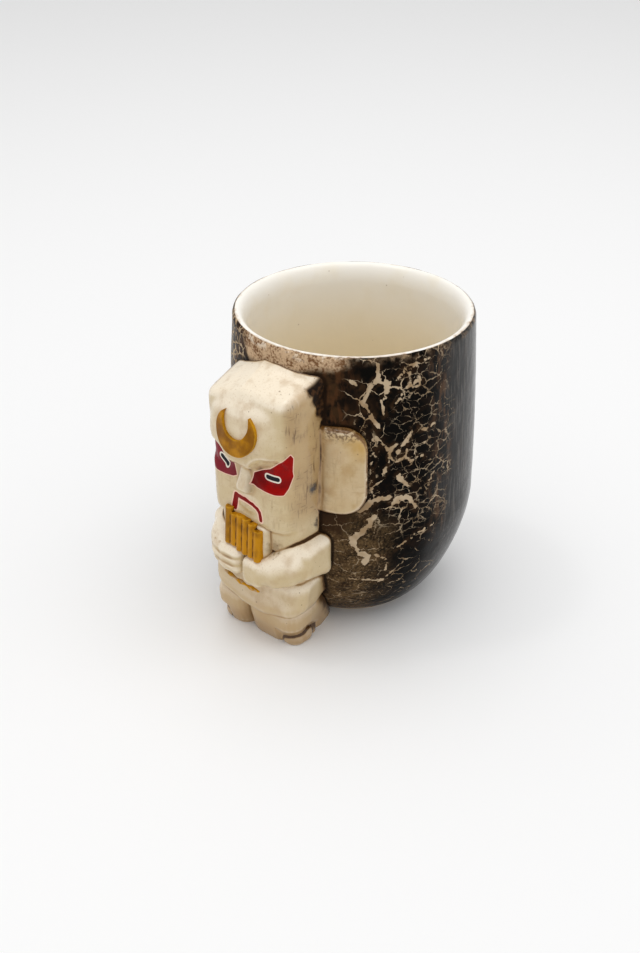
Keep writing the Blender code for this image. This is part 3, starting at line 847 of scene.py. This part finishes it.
coat_points = read_points(crackle_coat) / MM
degrees_round = np.degrees(np.arctan2(coat_points[:, 0], -coat_points[:, 1]))
flat_wall = np.stack([degrees_round * DEGREE, coat_points[:, 2]], axis=1)
wander = wandering(coat_points, 3.2) + 0.5 * wandering(coat_points, 1.4)
crack_depth = np.full(len(coat_points), -5.0)
for width, *line in CRACKS:
    flat_line = [(degrees * DEGREE, height) for degrees, height in line]
    half_width = width * (0.55 + 0.35 * wander[:, 2])
    apart = line_distance(flat_wall + 0.6 * wander[:, :2], flat_line)
    crack_depth = np.maximum(crack_depth, half_width - apart)
for degrees, height, radius, width in BUBBLES:
    apart = np.linalg.norm(flat_wall + 0.3 * wander[:, :2] - [degrees * DEGREE, height], axis=1)
    burst = np.maximum(BUBBLE_HEART - apart, apart - radius + width / 2)
    crack_depth = np.where(apart < radius, burst, crack_depth)
    crack_depth = np.maximum(crack_depth, width / 2 - np.abs(apart - radius))
store(crackle_coat, "crack", PAINT_EDGE + crack_depth)
print("points in broad cracks:", int((crack_depth > 0).sum()))

# %% [markdown]
# Shaders are built with two small classes. A finish is a node tree being wired, and a flow is what comes
# out of one of its nodes. Sums, products and steps of flows make the nodes that work them out, so a finish
# reads like plain arithmetic. Places are in millimetres, so every size in a finish is a real one. One
# function opens a finish, with the part of its sheen that is the same all over, and another lays it on its
# pieces.

# %% Helpers for finishes
class Flow:
    """What flows out of a node: a number, a place or a colour."""

    def __init__(self, finish, socket):
        self.finish = finish
        self.socket = socket

    def __add__(self, other):
        return self.finish.worked("ADD", self, other)

    def __sub__(self, other):
        return self.finish.worked("SUBTRACT", self, other)

    def __rsub__(self, other):
        return self.finish.worked("SUBTRACT", other, self)

    def __mul__(self, other):
        return self.finish.worked("MULTIPLY", self, other)

    def __truediv__(self, other):
        return self.finish.worked("DIVIDE", self, other)

    def __rtruediv__(self, other):
        return self.finish.worked("DIVIDE", other, self)

    def most(self, other):
        """The larger of two numbers."""
        return self.finish.worked("MAXIMUM", self, other)

    def step(self, low, high):
        """Smooth step: 0 at low, 1 at high, whichever of the two is larger."""
        inputs = {"Value": self, "From Min": low, "From Max": high}
        return self.finish.made("MapRange", inputs, interpolation_type="SMOOTHSTEP")


class Finish:
    """Node tree of a material or a shared effect, with short ways to wire it."""

    def __init__(self, tree):
        self.tree = tree
        self.place = self.places((1.0, 1.0, 1.0))
        self.colour = None
        self.material = None

    def feed(self, node, inputs):
        """Link or set some inputs of a node."""
        for key, value in inputs.items():
            socket = node.inputs[key]
            if isinstance(value, Flow):
                self.tree.links.new(value.socket, socket)
            elif isinstance(value, tuple):
                socket.default_value = (*value, 1.0)[:len(socket.default_value)]
            else:
                socket.default_value = value

    def made(self, kind, inputs, output=0, **settings):
        """What flows out of a new node with these inputs and settings."""
        node = self.tree.nodes.new("ShaderNode" + kind)
        for name, value in settings.items():
            setattr(node, name, value)
        self.feed(node, inputs)
        return Flow(self, node.outputs[output])

    def worked(self, operation, first, second=0.0):
        """Arithmetic on numbers."""
        return self.made("Math", {0: first, 1: second}, operation=operation)

    def places(self, stretch):
        """Places on the object in millimetres; a small stretch makes patterns long in that direction."""
        place = self.made("TexCoord", {}, "Object")
        return self.made("Mapping", {"Vector": place, "Scale": tuple(Vector(stretch) / MM)})

    def axes(self):
        """The three axes of a place: across, back and up."""
        return [self.made("SeparateXYZ", {0: self.place}, axis) for axis in range(3)]

    def mottle(self, length, detail=2.0, stretch=None):
        """Soft noise between 0 and 1 with lumps of about a length in millimetres."""
        place = self.places(stretch) if stretch else self.place
        return self.made("TexNoise", {"Vector": place, "Scale": 1.0 / length, "Detail": detail})

    def kept(self, name):
        """Number stored on the points of the piece."""
        return self.made("Attribute", {}, "Fac", attribute_name=name)

    def blend(self, share, first, second):
        """Colour between two colours."""
        return self.made("Mix", {0: share, 6: first, 7: second}, 2, data_type="RGBA")

    def lay(self, share, paint):
        """Lay a paint over the colour so far, as far as a share says."""
        self.colour = self.blend(share, self.colour, paint)

    def shared(self, effect, **inputs):
        """Use a shared effect."""
        return self.made("Group", inputs, node_tree=effect.tree)


def new_finish(name, constants):
    """New material with its constant sheen set; its colour is wired later."""
    material = bpy.data.materials.new(name)
    material.use_nodes = True
    finish = Finish(material.node_tree)
    finish.material = material
    finish.feed(finish.tree.nodes["Principled BSDF"], constants)
    return finish


def dress(pieces, finish, height, depth, more=None):
    """Give pieces a finish: its colour, a relief of some depth in millimetres, and what more it has."""
    relief = finish.made("Bump", {"Strength": 1.0, "Distance": depth * MM, "Height": height})
    inputs = {"Base Color": finish.colour, "Normal": relief, **(more or {})}
    finish.feed(finish.tree.nodes["Principled BSDF"], inputs)
    for piece in pieces:
        piece.data.materials.append(finish.material)
    print(finish.material.name, "has", len(finish.tree.nodes), "nodes and dresses", len(pieces), "pieces")


print("materials before the finishes:", len(bpy.data.materials))

# %% [markdown]
# Two effects are shared by several glazes, so they are node groups: specks of iron that bleed through in
# the kiln, and the soft unevenness of a brushed glaze.

# %% Shared effects
def new_effect(name, output, **inputs):
    """New node group with number inputs and one number output, and what flows in."""
    group = bpy.data.node_groups.new(name, "ShaderNodeTree")
    for label, default in inputs.items():
        socket = group.interface.new_socket(label, in_out="INPUT", socket_type="NodeSocketFloat")
        socket.default_value = default
    group.interface.new_socket(output, in_out="OUTPUT", socket_type="NodeSocketFloat")
    effect = Finish(group)
    entry = group.nodes.new("NodeGroupInput")
    return effect, [Flow(effect, entry.outputs[label]) for label in inputs]


def give(effect, value):
    """Let a number flow out of a shared effect."""
    effect.feed(effect.tree.nodes.new("NodeGroupOutput"), {0: value})


specks, (spacing, speck_size) = new_effect("iron_specks", "Mask", Spacing=3.0, Size=0.3)
from_speck = specks.made("TexVoronoi", {"Vector": specks.place, "Scale": 1.0 / spacing}, "Distance")
speck_edge = speck_size / spacing * specks.mottle(2.3).step(0.35, 0.75)
give(specks, from_speck.step(speck_edge, speck_edge * 0.3))

ripple, (ripple_length,) = new_effect("brushed_ripple", "Height", Length=5.0)
give(ripple, ripple.mottle(ripple_length, 3.0))
print("node groups:", len(bpy.data.node_groups))

# %% [markdown]
# The idol's glaze is a warm cream. The sides that face up are paler as painted light from above, and a
# brown tint towards the feet deepens into painted shade near the table. The sides of the head are darker,
# partly brown and partly painted shade, and scratched, and faint brush marks run over the head and ears.
# The same soft noise, drawn out tall or wide, gives the upright and the level marks. Some smudges are
# listed.

# %% Idol glaze, ground and marks
CREAM = (0.625, 0.487, 0.272)
TOP_LIT_CREAM = (0.93, 0.815, 0.64)
TAN = (0.50, 0.33, 0.165)
SIDE_TAN_AND_SHADE = (0.46, 0.285, 0.115)
FOOT_SHADE_TAN = (0.34, 0.20, 0.09)
MARK_BROWN = (0.30, 0.18, 0.075)
WASH_BROWN = (0.085, 0.040, 0.014)
SMUDGE_SOFTNESS = 2.8
SMUDGES = (
    ((17.0, -38.2, 58.6), 5.4, (0.035, 0.035, 0.04)), ((17.0, -36.0, 45.4), 5.6, (0.050, 0.024, 0.010)),
    ((9.6, -48.0, 39.0), 6.2, (0.36, 0.25, 0.12)), ((1.4, -52.4, 50.4), 5.6, (0.43, 0.29, 0.145)))

glaze = new_finish("idol_glaze", {"Roughness": 0.3, "Specular IOR Level": 0.06, "Coat Roughness": 0.10})
across, back, height = glaze.axes()
sideways = glaze.worked("ABSOLUTE", across)
facing_up = glaze.kept("facing_up").step(-0.2, 0.65)
# Painted light: the sides that face up are paler, as if lit from above.
pale = (facing_up * (glaze.mottle(14.0) + 0.3)).step(0.0, 0.7)
glaze.colour = glaze.blend(pale, CREAM, TOP_LIT_CREAM)
glaze.lay(glaze.mottle(5.0, 4.0).step(0.48, 0.75) * 0.5, TAN)
glaze.lay(glaze.mottle(0.5).step(0.55, 0.75) * 0.3, TAN)
# A brown tint towards the feet, deepening into painted shade near the table.
glaze.lay(height.step(28.0, 3.0) * 0.75, TAN)
glaze.lay(height.step(9.0, 3.0) * 0.5, FOOT_SHADE_TAN)

on_side = sideways.step(14.0, 16.5) * height.step(44.0, 52.0)
on_head = on_side * sideways.step(19.0, 18.0)
# The sides of the head are darker: partly a brown tint, partly painted shade where the lamps reach less.
glaze.lay(on_side * 0.36 + on_head * 0.28, SIDE_TAN_AND_SHADE)
upright_lines = glaze.mottle(0.7, 4.0, (1.0, 1.0, 0.15)).step(0.52, 0.72)
level_lines = glaze.mottle(0.6, 4.0, (0.2, 0.2, 1.0)).step(0.55, 0.75)
worn = glaze.mottle(7.0, 3.0).step(0.34, 0.58)
glaze.lay(worn * on_head * 0.3, MARK_BROWN)
scratches = upright_lines.most(level_lines * 0.6) * worn * on_head
glaze.lay(scratches * 0.85, WASH_BROWN)
brush_marks = upright_lines.most(level_lines) * worn * height.step(78.0, 70.0) * height.step(44.0, 48.0)
glaze.lay(brush_marks * 0.3, MARK_BROWN)
for middle, reach, smudge in SMUDGES:
    apart = glaze.made("VectorMath", {0: glaze.place, 1: middle}, "Value", operation="DISTANCE")
    ragged = apart + glaze.mottle(1.2, 4.0) * 5.0
    glaze.lay(ragged.step(reach, reach - SMUDGE_SOFTNESS) * 0.9, smudge)
print("nodes so far:", len(glaze.tree.nodes))

# %% [markdown]
# Over the ground go the pale ridges, worn glaze that is also a painted highlight, and the brown wash, with
# painted shade where pieces meet, from the numbers stored before. Beside the head the dark coat ran a
# little way on to it from the wall. The ears are yellowed, with a glow near the top, a brown rim and dark
# specks along the upper edge. Specks of iron and a shade beside the nose come last.

# %% Idol glaze, wash and runs
RIDGE_HIGHLIGHT_CREAM = (0.93, 0.83, 0.66)
RUN_RIM = (0.30, 0.17, 0.06)
RUN_BLACK = (0.014, 0.008, 0.005)
RUN_BROWN = (0.07, 0.032, 0.013)
EAR_YELLOW = (0.42, 0.25, 0.075)
EAR_GLOW = (0.56, 0.33, 0.07)
EAR_BROWN = (0.19, 0.085, 0.02)
EAR_SPECK = (0.12, 0.055, 0.014)
IRON_BROWN = (0.20, 0.11, 0.04)
NOSE_SHADE = (0.30, 0.205, 0.10)
TO_DEGREES = 180.0 / math.pi

# Painted highlight on the ridges, over glaze that wears pale there.
ridge = glaze.kept("ridge").step(0.1, 0.8) * (glaze.mottle(4.0, 3.0) + 0.3)
glaze.lay(ridge * 0.75, RIDGE_HIGHLIGHT_CREAM)
# Brown wash in the hollows, with painted shade where pieces meet.
wash = glaze.kept("wash") * (glaze.mottle(3.0, 3.0) + 0.45)
glaze.lay(wash.step(0.06, 0.4), TAN)
glaze.lay(wash.step(0.3, 0.85), WASH_BROWN)

run = height * 0.42 + glaze.mottle(2.4, 3.0) * 5.0 + back - 0.5
by_wall = sideways.step(15.2, 16.4) * sideways.step(18.4, 17.8) * height.step(72.0, 77.0)
run_share = by_wall * run.step(-0.7, 0.8)
glaze.lay(by_wall * run.step(-1.8, 0.2) * 0.7, RUN_RIM)
glaze.lay(run_share, glaze.blend(glaze.mottle(1.3, 4.0).step(0.4, 0.68), RUN_BLACK, RUN_BROWN))

ear_turn = glaze.worked("ARCTAN2", sideways, back * -1.0) * TO_DEGREES
on_ear = ear_turn.step(27.0, 29.0) * height.step(47.0, 49.0)
glaze.lay(on_ear * glaze.mottle(4.0, 5.0).step(0.45, 0.7) * 0.5, EAR_YELLOW)
glaze.lay(on_ear * ear_turn.step(34.0, 44.0) * height.step(66.0, 73.0) * 0.7, EAR_GLOW)
glaze.lay(glaze.kept("rim").step(0.01, 0.12) * glaze.mottle(2.2, 4.0).step(0.25, 0.5) * 0.9, EAR_BROWN)
ear_top = on_ear * height.step(73.8, 76.4) * glaze.mottle(0.9, 4.0).step(0.46, 0.56)
glaze.lay(ear_top * 0.75, EAR_SPECK)
glaze.lay(glaze.shared(specks, Spacing=2.2, Size=0.5) * 0.6, IRON_BROWN)
nose_side = across.step(1.6, 3.4) * across.step(6.5, 4.5) * back.step(-face, -face - 0.9)
nose_side = nose_side * height.step(56.0, 58.0) * height.step(66.5, 63.5)
glaze.lay(nose_side * 0.55, NOSE_SHADE)
print("nodes so far:", len(glaze.tree.nodes))

# %% [markdown]
# Last comes the paint on the face, red and black with pale rims, each where its stored number passes an
# edge. The paint and the dark runs are matt, so the clear coat that makes the glaze glossy is left off
# there. The relief is the shared ripple with a fine grain on the sides that face up.

# %% Idol glaze, paint and gloss
PAINT_RED = (0.34, 0.003, 0.002)
DEEP_RED = (0.20, 0.005, 0.005)
INNER_RED = (0.11, 0.008, 0.008)
LEFT_RED_SHEEN_AND_SHADE = (0.22, 0.03, 0.045)
MOUTH_RED = (0.23, 0.006, 0.006)
RIM_WHITE = (0.88, 0.82, 0.70)
RIM_PINK = (0.88, 0.58, 0.44)
EYE_BLACK = (0.012, 0.014, 0.018)
EDGE_SOFTNESS = 0.08

patch = glaze.kept("patch")
slot = glaze.kept("slot")
mouth = glaze.kept("mouth") + glaze.mottle(2.0) * 0.3
red = glaze.blend(glaze.mottle(4.0).step(0.35, 0.7), PAINT_RED, DEEP_RED)
red = glaze.blend(sideways.step(10.5, 4.5) * 0.75, red, INNER_RED)
# Painted sheen and shade: the left eye patch is duller and pinker.
red = glaze.blend(across.step(4.0, -8.0) * 0.7, red, LEFT_RED_SHEEN_AND_SHADE)
paints = (
    (patch, -0.26, RIM_PINK), (patch, 0.0, red), (mouth, -0.95, RIM_PINK), (mouth, -0.48, MOUTH_RED),
    (slot, -1.25, RIM_WHITE), (slot, -0.75, EYE_BLACK))
for depth, shift, paint in paints:
    edge = PAINT_EDGE + shift
    glaze.lay(depth.step(edge - EDGE_SOFTNESS, edge + EDGE_SOFTNESS), paint)
painted = patch.step(PAINT_EDGE - 0.3, PAINT_EDGE).most(mouth.step(PAINT_EDGE - 0.7, PAINT_EDGE - 0.5))
gloss = (1.0 - painted.most(run_share)) * 0.7
grain = glaze.mottle(0.5, 3.0) * facing_up * 1.4
dress(idol, glaze, glaze.shared(ripple, Length=2.5) + grain, 0.05, {"Coat Weight": gloss})

# %% [markdown]
# The beard, belt and crest are brushed with an ochre that looks like old gold: uneven and darker in the
# grooves, with a painted highlight along the ridges and some shine but no real metal. On the thin belt it
# is worn off in places.

# %% Ochre gilding
DARK_OCHRE = (0.23, 0.085, 0.001)
OCHRE = (0.54, 0.235, 0.004)
CORNER_OCHRE = (0.20, 0.085, 0.006)
HIGHLIGHT_OCHRE = (0.72, 0.37, 0.02)
OCHRE_WASH = (0.085, 0.030, 0.003)

gilding = new_finish("ochre_gilding", {"Roughness": 0.2, "Specular IOR Level": 0.11})
across, back, height = gilding.axes()
strokes = gilding.mottle(1.8, 3.0, (1.0, 1.0, 0.25)) * height.step(60.0, 54.0) * 0.35
brushed = strokes + gilding.mottle(5.0, 3.0) * 0.75
gilding.colour = gilding.blend(brushed.step(0.28, 0.60), DARK_OCHRE, OCHRE)
gilding.lay(across.step(-3.0, -8.0) * height.step(56.0, 50.0) * 0.7, CORNER_OCHRE)
# Painted highlight along the ridges of the gilding.
ochre_highlight = gilding.kept("ridge").step(0.1, 0.7) * (gilding.mottle(2.5, 3.0) + 0.3)
gilding.lay(ochre_highlight * 0.7, HIGHLIGHT_OCHRE)
ochre_wash = gilding.kept("wash") * (gilding.mottle(2.0, 3.0) + 0.5)
gilding.lay(ochre_wash.step(0.10, 0.5), OCHRE_WASH)
gilding.lay(height.step(30.0, 26.0) * gilding.mottle(1.6, 3.0).step(0.5, 0.58) * 0.85, TAN)
dress(gilded, gilding, gilding.shared(ripple, Length=1.6), 0.05)

# %% [markdown]
# The coat changes round the cup, so its shader first works out zones from the angle round the front and
# the height, both made to wobble. It is cracked beside the figure and at the back, and whole in between.

# %% Crackle coat, zones
coat = new_finish("crackle_glaze", {"Specular IOR Level": 0.025, "Coat Roughness": 0.22})
across, back, height = coat.axes()
wobble = coat.mottle(9.0, 3.0) - 0.5
coat_turn = coat.worked("ARCTAN2", coat.worked("ABSOLUTE", across), back * -1.0) * TO_DEGREES
round_front = coat_turn + wobble * 22.0
on_left = across.step(-18.0, -24.0) * back.step(6.0, -6.0)
angle = round_front + on_left * 18.0
level = height + wobble * 16.0
stain = coat.kept("stain")
far_round = angle.step(82.0, 92.0)
behind = (angle + wobble * 70.0).step(120.0, 150.0)
cracked = (1.0 - far_round).most(behind)
coarse_zone = cracked * level.step(40.0, 52.0) * angle.step(34.0, 44.0)
fine_zone = cracked * level.step(36.0, 46.0) * angle.step(54.0, 62.0)
left_zone = across.step(-11.0, -14.0) * back.step(-8.0, -14.0) * height.step(40.0, 52.0)
low_zone = level.step(54.0, 40.0)
beside = angle.step(66.0, 42.0)
left_end = across.step(-4.0, -12.0) * 18.0
over_head = (round_front + left_end).step(46.0, 28.0)
print("nodes so far:", len(coat.tree.nodes))

# %% [markdown]
# The coat is nearly black where it is thick. It thins to brown round the figure, with runs above the ears,
# and to a speckled olive low down beside the legs. Further round come a rusty stretch and then fine
# upright streaks, soft noise drawn out tall, whose grey is a painted sheen.

# %% Crackle coat, colour
BLACK = (0.003, 0.0025, 0.002)
DARK_BROWN = (0.013, 0.0065, 0.0035)
BROWN = (0.075, 0.036, 0.014)
DRIP_BROWN = (0.085, 0.034, 0.013)
OLIVE = (0.135, 0.082, 0.036)
SPECK_TAN = (0.34, 0.225, 0.12)
EAR_SHADE = (0.034, 0.016, 0.007)
RUST = (0.13, 0.066, 0.031)
SHEEN_GREY = (0.085, 0.075, 0.064)

coat.colour = coat.blend(coat.mottle(4.0, 4.0).step(0.45, 0.7) * 0.8, BLACK, DARK_BROWN)
brown_share = (stain * 0.6 + 0.2) * beside * angle.step(50.0, 42.0).most(low_zone)
coat.lay(brown_share * coat.mottle(3.5, 5.0).step(0.36, 0.66), BROWN)
brown_runs = coat.mottle(1.8, 5.0, (1.0, 1.0, 0.4)).step(0.46, 0.64)
coat.lay(brown_runs * angle.step(44.0, 34.0) * height.step(72.0, 78.0) * 0.65, DRIP_BROWN)
olive_grain = coat.mottle(6.0, 3.0) * 0.6 + coat.mottle(0.7, 3.0) * 0.6
coat.lay(low_zone * beside * olive_grain.step(0.42, 0.8), OLIVE)
coat.lay(low_zone * beside * coat.mottle(0.8, 4.0).step(0.57, 0.68) * 0.6, SPECK_TAN)
under_ear = height.step(52.0, 49.0) * level.step(38.0, 43.0) * angle.step(42.0, 34.0)
coat.lay(under_ear * 0.9, EAR_SHADE)
rust_zone = angle.step(74.0, 81.0) * angle.step(91.0, 85.0) * height.step(30.0, 44.0)
rust_streaks = coat.mottle(1.6, 4.0, (1.0, 1.0, 0.25)).step(0.46, 0.66)
coat.lay(rust_zone * rust_streaks * 0.55, RUST)
# Upright streaks, painted grey as a sheen far round the cup; they also roughen the relief.
sheen_streaks = coat.mottle(0.7, 3.0, (1.0, 1.0, 0.06)).step(0.45, 0.75) * far_round
coat.lay(sheen_streaks * 0.8, SHEEN_GREY)
print("nodes so far:", len(coat.tree.nodes))

# %% [markdown]
# The broad cracks come from the stored numbers, with crumbling edges and small chips. The finer nets are
# the edges of flat Voronoi cells on the unrolled wall, pushed about by noise: a coarse one beside the ear,
# a fine one further round, a close one on the left and an open one low down. Level lines mark the bottom,
# and flecks lie close to the figure.

# %% Crackle coat, cracks
CRACK_CREAM = (0.52, 0.40, 0.265)
CRACK_TAN = (0.33, 0.22, 0.12)
CONTACT_SHADOW_BROWN = (0.012, 0.006, 0.003)
CHIP_SIZE = 2.2
around = coat.worked("ARCTAN2", across, back) * (BELLY_RADIUS / MM)
unrolled = coat.made("CombineXYZ", {0: around, 1: height})


def net(size, width, warp, amount, broadness=1.0):
    """Net of cracks with cells of a height and lines of a width, over some amount of the wall."""
    push = coat.made("TexNoise", {"Vector": coat.place, "Scale": 1.0 / warp, "Detail": 3.0}, "Color")
    broad = coat.made("Mapping", {"Vector": unrolled, "Scale": (1.0 / broadness, 1.0, 1.0)})
    pushed = coat.made("VectorMath", {0: push, 1: (1.5 * warp,) * 3, 2: broad}, operation="MULTIPLY_ADD")
    from_edge = coat.made(
        "TexVoronoi", {"Vector": pushed, "Scale": 1.0 / size}, "Distance",
        voronoi_dimensions="2D", feature="DISTANCE_TO_EDGE")
    opened = coat.mottle(1.3 * size, 3.0).step(0.62 - 0.4 * amount, 0.72)
    half_line = (coat.mottle(1.5) * 1.2 + 0.2) * opened * width
    return (from_edge * size).step(half_line, half_line * 0.6)


crack = coat.kept("crack")
halo = crack.step(PAINT_EDGE - 1.8, PAINT_EDGE) * coat.mottle(2.2, 3.0).step(0.4, 0.6)
coat.lay(halo * 0.35, BROWN)
crumbs = (coat.mottle(1.1, 5.0) - 0.5) * 1.9
chips = coat.made("TexVoronoi", {"Vector": coat.place, "Scale": 1.0 / CHIP_SIZE}, "Distance") - 0.54
cracks = (crack + (crumbs + chips)).step(PAINT_EDGE - 0.02, PAINT_EDGE + 0.10)
flecks = stain.step(0.45, 0.7) * coat.mottle(1.3, 4.0).step(0.56, 0.61)
level_cracks = coat.mottle(1.5, 4.0, (0.35, 0.35, 1.6)).step(0.60, 0.68)
finer_cracks = (
    net(6.4, 0.36, 1.8, 0.5) * coarse_zone,
    net(2.7, 0.27, 1.1, 0.75, 1.6) * fine_zone * 0.6,
    net(2.6, 0.6, 1.2, 1.0, 1.3) * left_zone,
    net(4.6, 0.32, 1.6, 0.55, 1.5) * low_zone * cracked * height.step(10.0, 14.0) * 0.65,
    level_cracks * height.step(20.0, 14.0) * cracked * 0.55,
    flecks * angle.step(40.0, 45.0) * height.step(47.0, 51.0))
for finer in finer_cracks:
    cracks = cracks.most(finer)
coat.lay(cracks, coat.blend(coat.mottle(5.0).step(0.35, 0.7), CRACK_CREAM, CRACK_TAN))
# Painted shadow on the coat where the figure meets it.
coat.lay(coat.kept("contact_shadow").step(0.1, 0.6) * 0.85, CONTACT_SHADOW_BROWN)
print("nodes so far:", len(coat.tree.nodes))

# %% [markdown]
# Under the lip the cream glaze mixed with the coat into a speckled tan band, broad behind the idol's head
# and patchy elsewhere, with a few pale drips. The cracks lie a little lower than the coat and are duller,
# and the stretch far round, without cracks, has the most gloss.

# %% Crackle coat, band and relief
BAND_BROWN = (0.20, 0.10, 0.045)
BAND_TAN = (0.62, 0.435, 0.27)
DRIP_CREAM = (0.84, 0.72, 0.57)

band_depth = across.step(16.0, 4.0) * 3.4 + 2.6
under_lip = (height + over_head * band_depth).step(97.0, 100.0)
speckle = coat.mottle(0.7, 5.0) * 0.6 + coat.mottle(4.0, 4.0) * 0.4
patchy = (coat.mottle(3.0, 4.0) + over_head * 0.35).step(0.42, 0.7)
band = coat.blend(speckle.step(0.40, 0.58), BAND_BROWN, BAND_TAN)
coat.lay(under_lip * patchy * (over_head * 0.5 + 0.45), band)
drips = coat.mottle(2.6, 4.0).step(0.54, 0.6) * over_head * (height + wobble * 8.0).step(97.0, 98.6)
coat.lay(drips * 0.6, DRIP_CREAM)
coat_relief = coat.shared(ripple, Length=2.2) + sheen_streaks * 0.35 - cracks * 1.4
sheen = {"Roughness": cracks * 0.3 + 0.22, "Coat Weight": angle.step(70.0, 92.0) * 0.45}
dress([crackle_coat], coat, coat_relief, 0.14, sheen)

# %% [markdown]
# The inside is a glossy cream, darker and yellower low down as painted shade in the cup, and paler on
# the right wall as painted light. On the lip it is nearly white, with a ragged edge, first beige and then
# brown, where it meets the coat. Under the foot the clay is bare.

# %% Liner and bare clay
LIP_WHITE = (0.965, 0.93, 0.86)
DEEP_SHADE_CREAM = (0.915, 0.805, 0.595)
CLOUD_CREAM = (0.90, 0.81, 0.63)
LINER_SPECK = (0.35, 0.24, 0.13)
RIGHT_LIT_WHITE = (0.97, 0.945, 0.89)
EDGE_BEIGE = (0.62, 0.47, 0.32)
EDGE_BROWN = (0.30, 0.18, 0.10)
DARK_CLAY = (0.42, 0.30, 0.19)
PALE_CLAY = (0.62, 0.48, 0.33)

liner = new_finish("liner_glaze", {"Roughness": 0.18, "Specular IOR Level": 0.3})
across, back, height = liner.axes()
# Painted shade: the glaze darkens and yellows deeper inside the cup.
liner.colour = liner.blend(height.step(100.0, 66.0), LIP_WHITE, DEEP_SHADE_CREAM)
liner.lay(liner.mottle(11.0, 3.0).step(0.45, 0.75) * 0.35, CLOUD_CREAM)
liner.lay(liner.shared(specks, Spacing=4.0, Size=0.5) * 0.5, LINER_SPECK)
# Painted light on the inner right wall, which faces the lamps.
liner.lay(across.step(0.0, 34.0) * 0.6, RIGHT_LIT_WHITE)
out_from_axis = liner.worked("SQRT", across * across + back * back)
lip_edge = out_from_axis + (liner.mottle(1.6, 4.0) * 2.2 + liner.mottle(12.0) * 2.4 - 2.3)
liner.lay(lip_edge.step(36.1, 36.8) * 0.5, EDGE_BEIGE)
liner.lay(lip_edge.step(36.9, 37.3), EDGE_BROWN)
dress([cup_liner], liner, liner.shared(ripple, Length=6.0), 0.15)

clay = new_finish("bare_clay", {"Roughness": 0.8, "Specular IOR Level": 0.3})
clay.colour = clay.blend(clay.mottle(1.5, 5.0), DARK_CLAY, PALE_CLAY)
dress([clay_body], clay, clay.mottle(0.5, 3.0), 0.12)

# %% [markdown]
# The stage is a plain pale floor that runs out of sight under an even white world. A wide softbox hangs
# overhead, a fainter one stands behind on the right, and a small lamp high at the front left sharpens the
# shadows a little. The camera stands where the photographer stood.

# %% Stage, light and camera
FLOOR_HALF = 6.0
FLOOR_WHITE = 0.925
WORLD_STRENGTH = 0.69
CAMERA_AZIMUTH = math.radians(41.0)
CAMERA_ELEVATION = math.radians(30.83)
CAMERA_PLACE = (0.2391, -0.2910, 0.2635)
LAMP_AIM = (0.0, 0.0, 0.05)

floor_bm = bmesh.new()
bmesh.ops.create_grid(floor_bm, x_segments=2, y_segments=2, size=FLOOR_HALF)
floor_mesh = bpy.data.meshes.new("floor")
floor_bm.to_mesh(floor_mesh)
floor_bm.free()
floor = bpy.data.objects.new("floor", floor_mesh)
scene.collection.objects.link(floor)
floor_material = bpy.data.materials.new("paper_sweep")
floor_material.use_nodes = True
floor_shader = floor_material.node_tree.nodes["Principled BSDF"]
floor_shader.inputs["Base Color"].default_value = (FLOOR_WHITE, FLOOR_WHITE, FLOOR_WHITE, 1.0)
floor_shader.inputs["Roughness"].default_value = 0.8
floor_shader.inputs["Specular IOR Level"].default_value = 0.1
floor_mesh.materials.append(floor_material)

world = bpy.data.worlds.new("studio")
scene.world = world
world.use_nodes = True
sky = world.node_tree.nodes["Background"]
sky.inputs["Color"].default_value = (1.0, 1.0, 1.0, 1.0)
sky.inputs["Strength"].default_value = WORLD_STRENGTH


def turned_to(name, data, place, direction):
    """Put a lamp or camera in a place, looking along a direction."""
    holder = bpy.data.objects.new(name, data)
    holder.location = place
    holder.rotation_euler = direction.to_track_quat("-Z", "Y").to_euler()
    scene.collection.objects.link(holder)
    return holder


def softbox(name, place, size, watts):
    """Square area lamp at a place, turned to the mug."""
    lamp = bpy.data.lights.new(name, "AREA")
    lamp.size = size
    lamp.energy = watts
    turned_to(name, lamp, place, Vector(LAMP_AIM) - Vector(place))


softbox("top_softbox", (0.05, 0.0, 1.0), 1.0, 4.3)
softbox("side_softbox", (0.8, 0.7, 0.8), 0.9, 0.5)
softbox("key_lamp", (-0.30, -0.25, 1.10), 0.10, 0.5)

camera_data = bpy.data.cameras.new("camera")
camera_data.lens = 50.0
camera_data.sensor_width = 36.0
looking = Vector((
    -math.sin(CAMERA_AZIMUTH) * math.cos(CAMERA_ELEVATION),
    math.cos(CAMERA_AZIMUTH) * math.cos(CAMERA_ELEVATION),
    -math.sin(CAMERA_ELEVATION)))
scene.camera = turned_to("camera", camera_data, CAMERA_PLACE, looking)
scene.view_settings.view_transform = "Standard"
print("camera", round(Vector(CAMERA_PLACE).length, 3), "m from the foot of the mug")
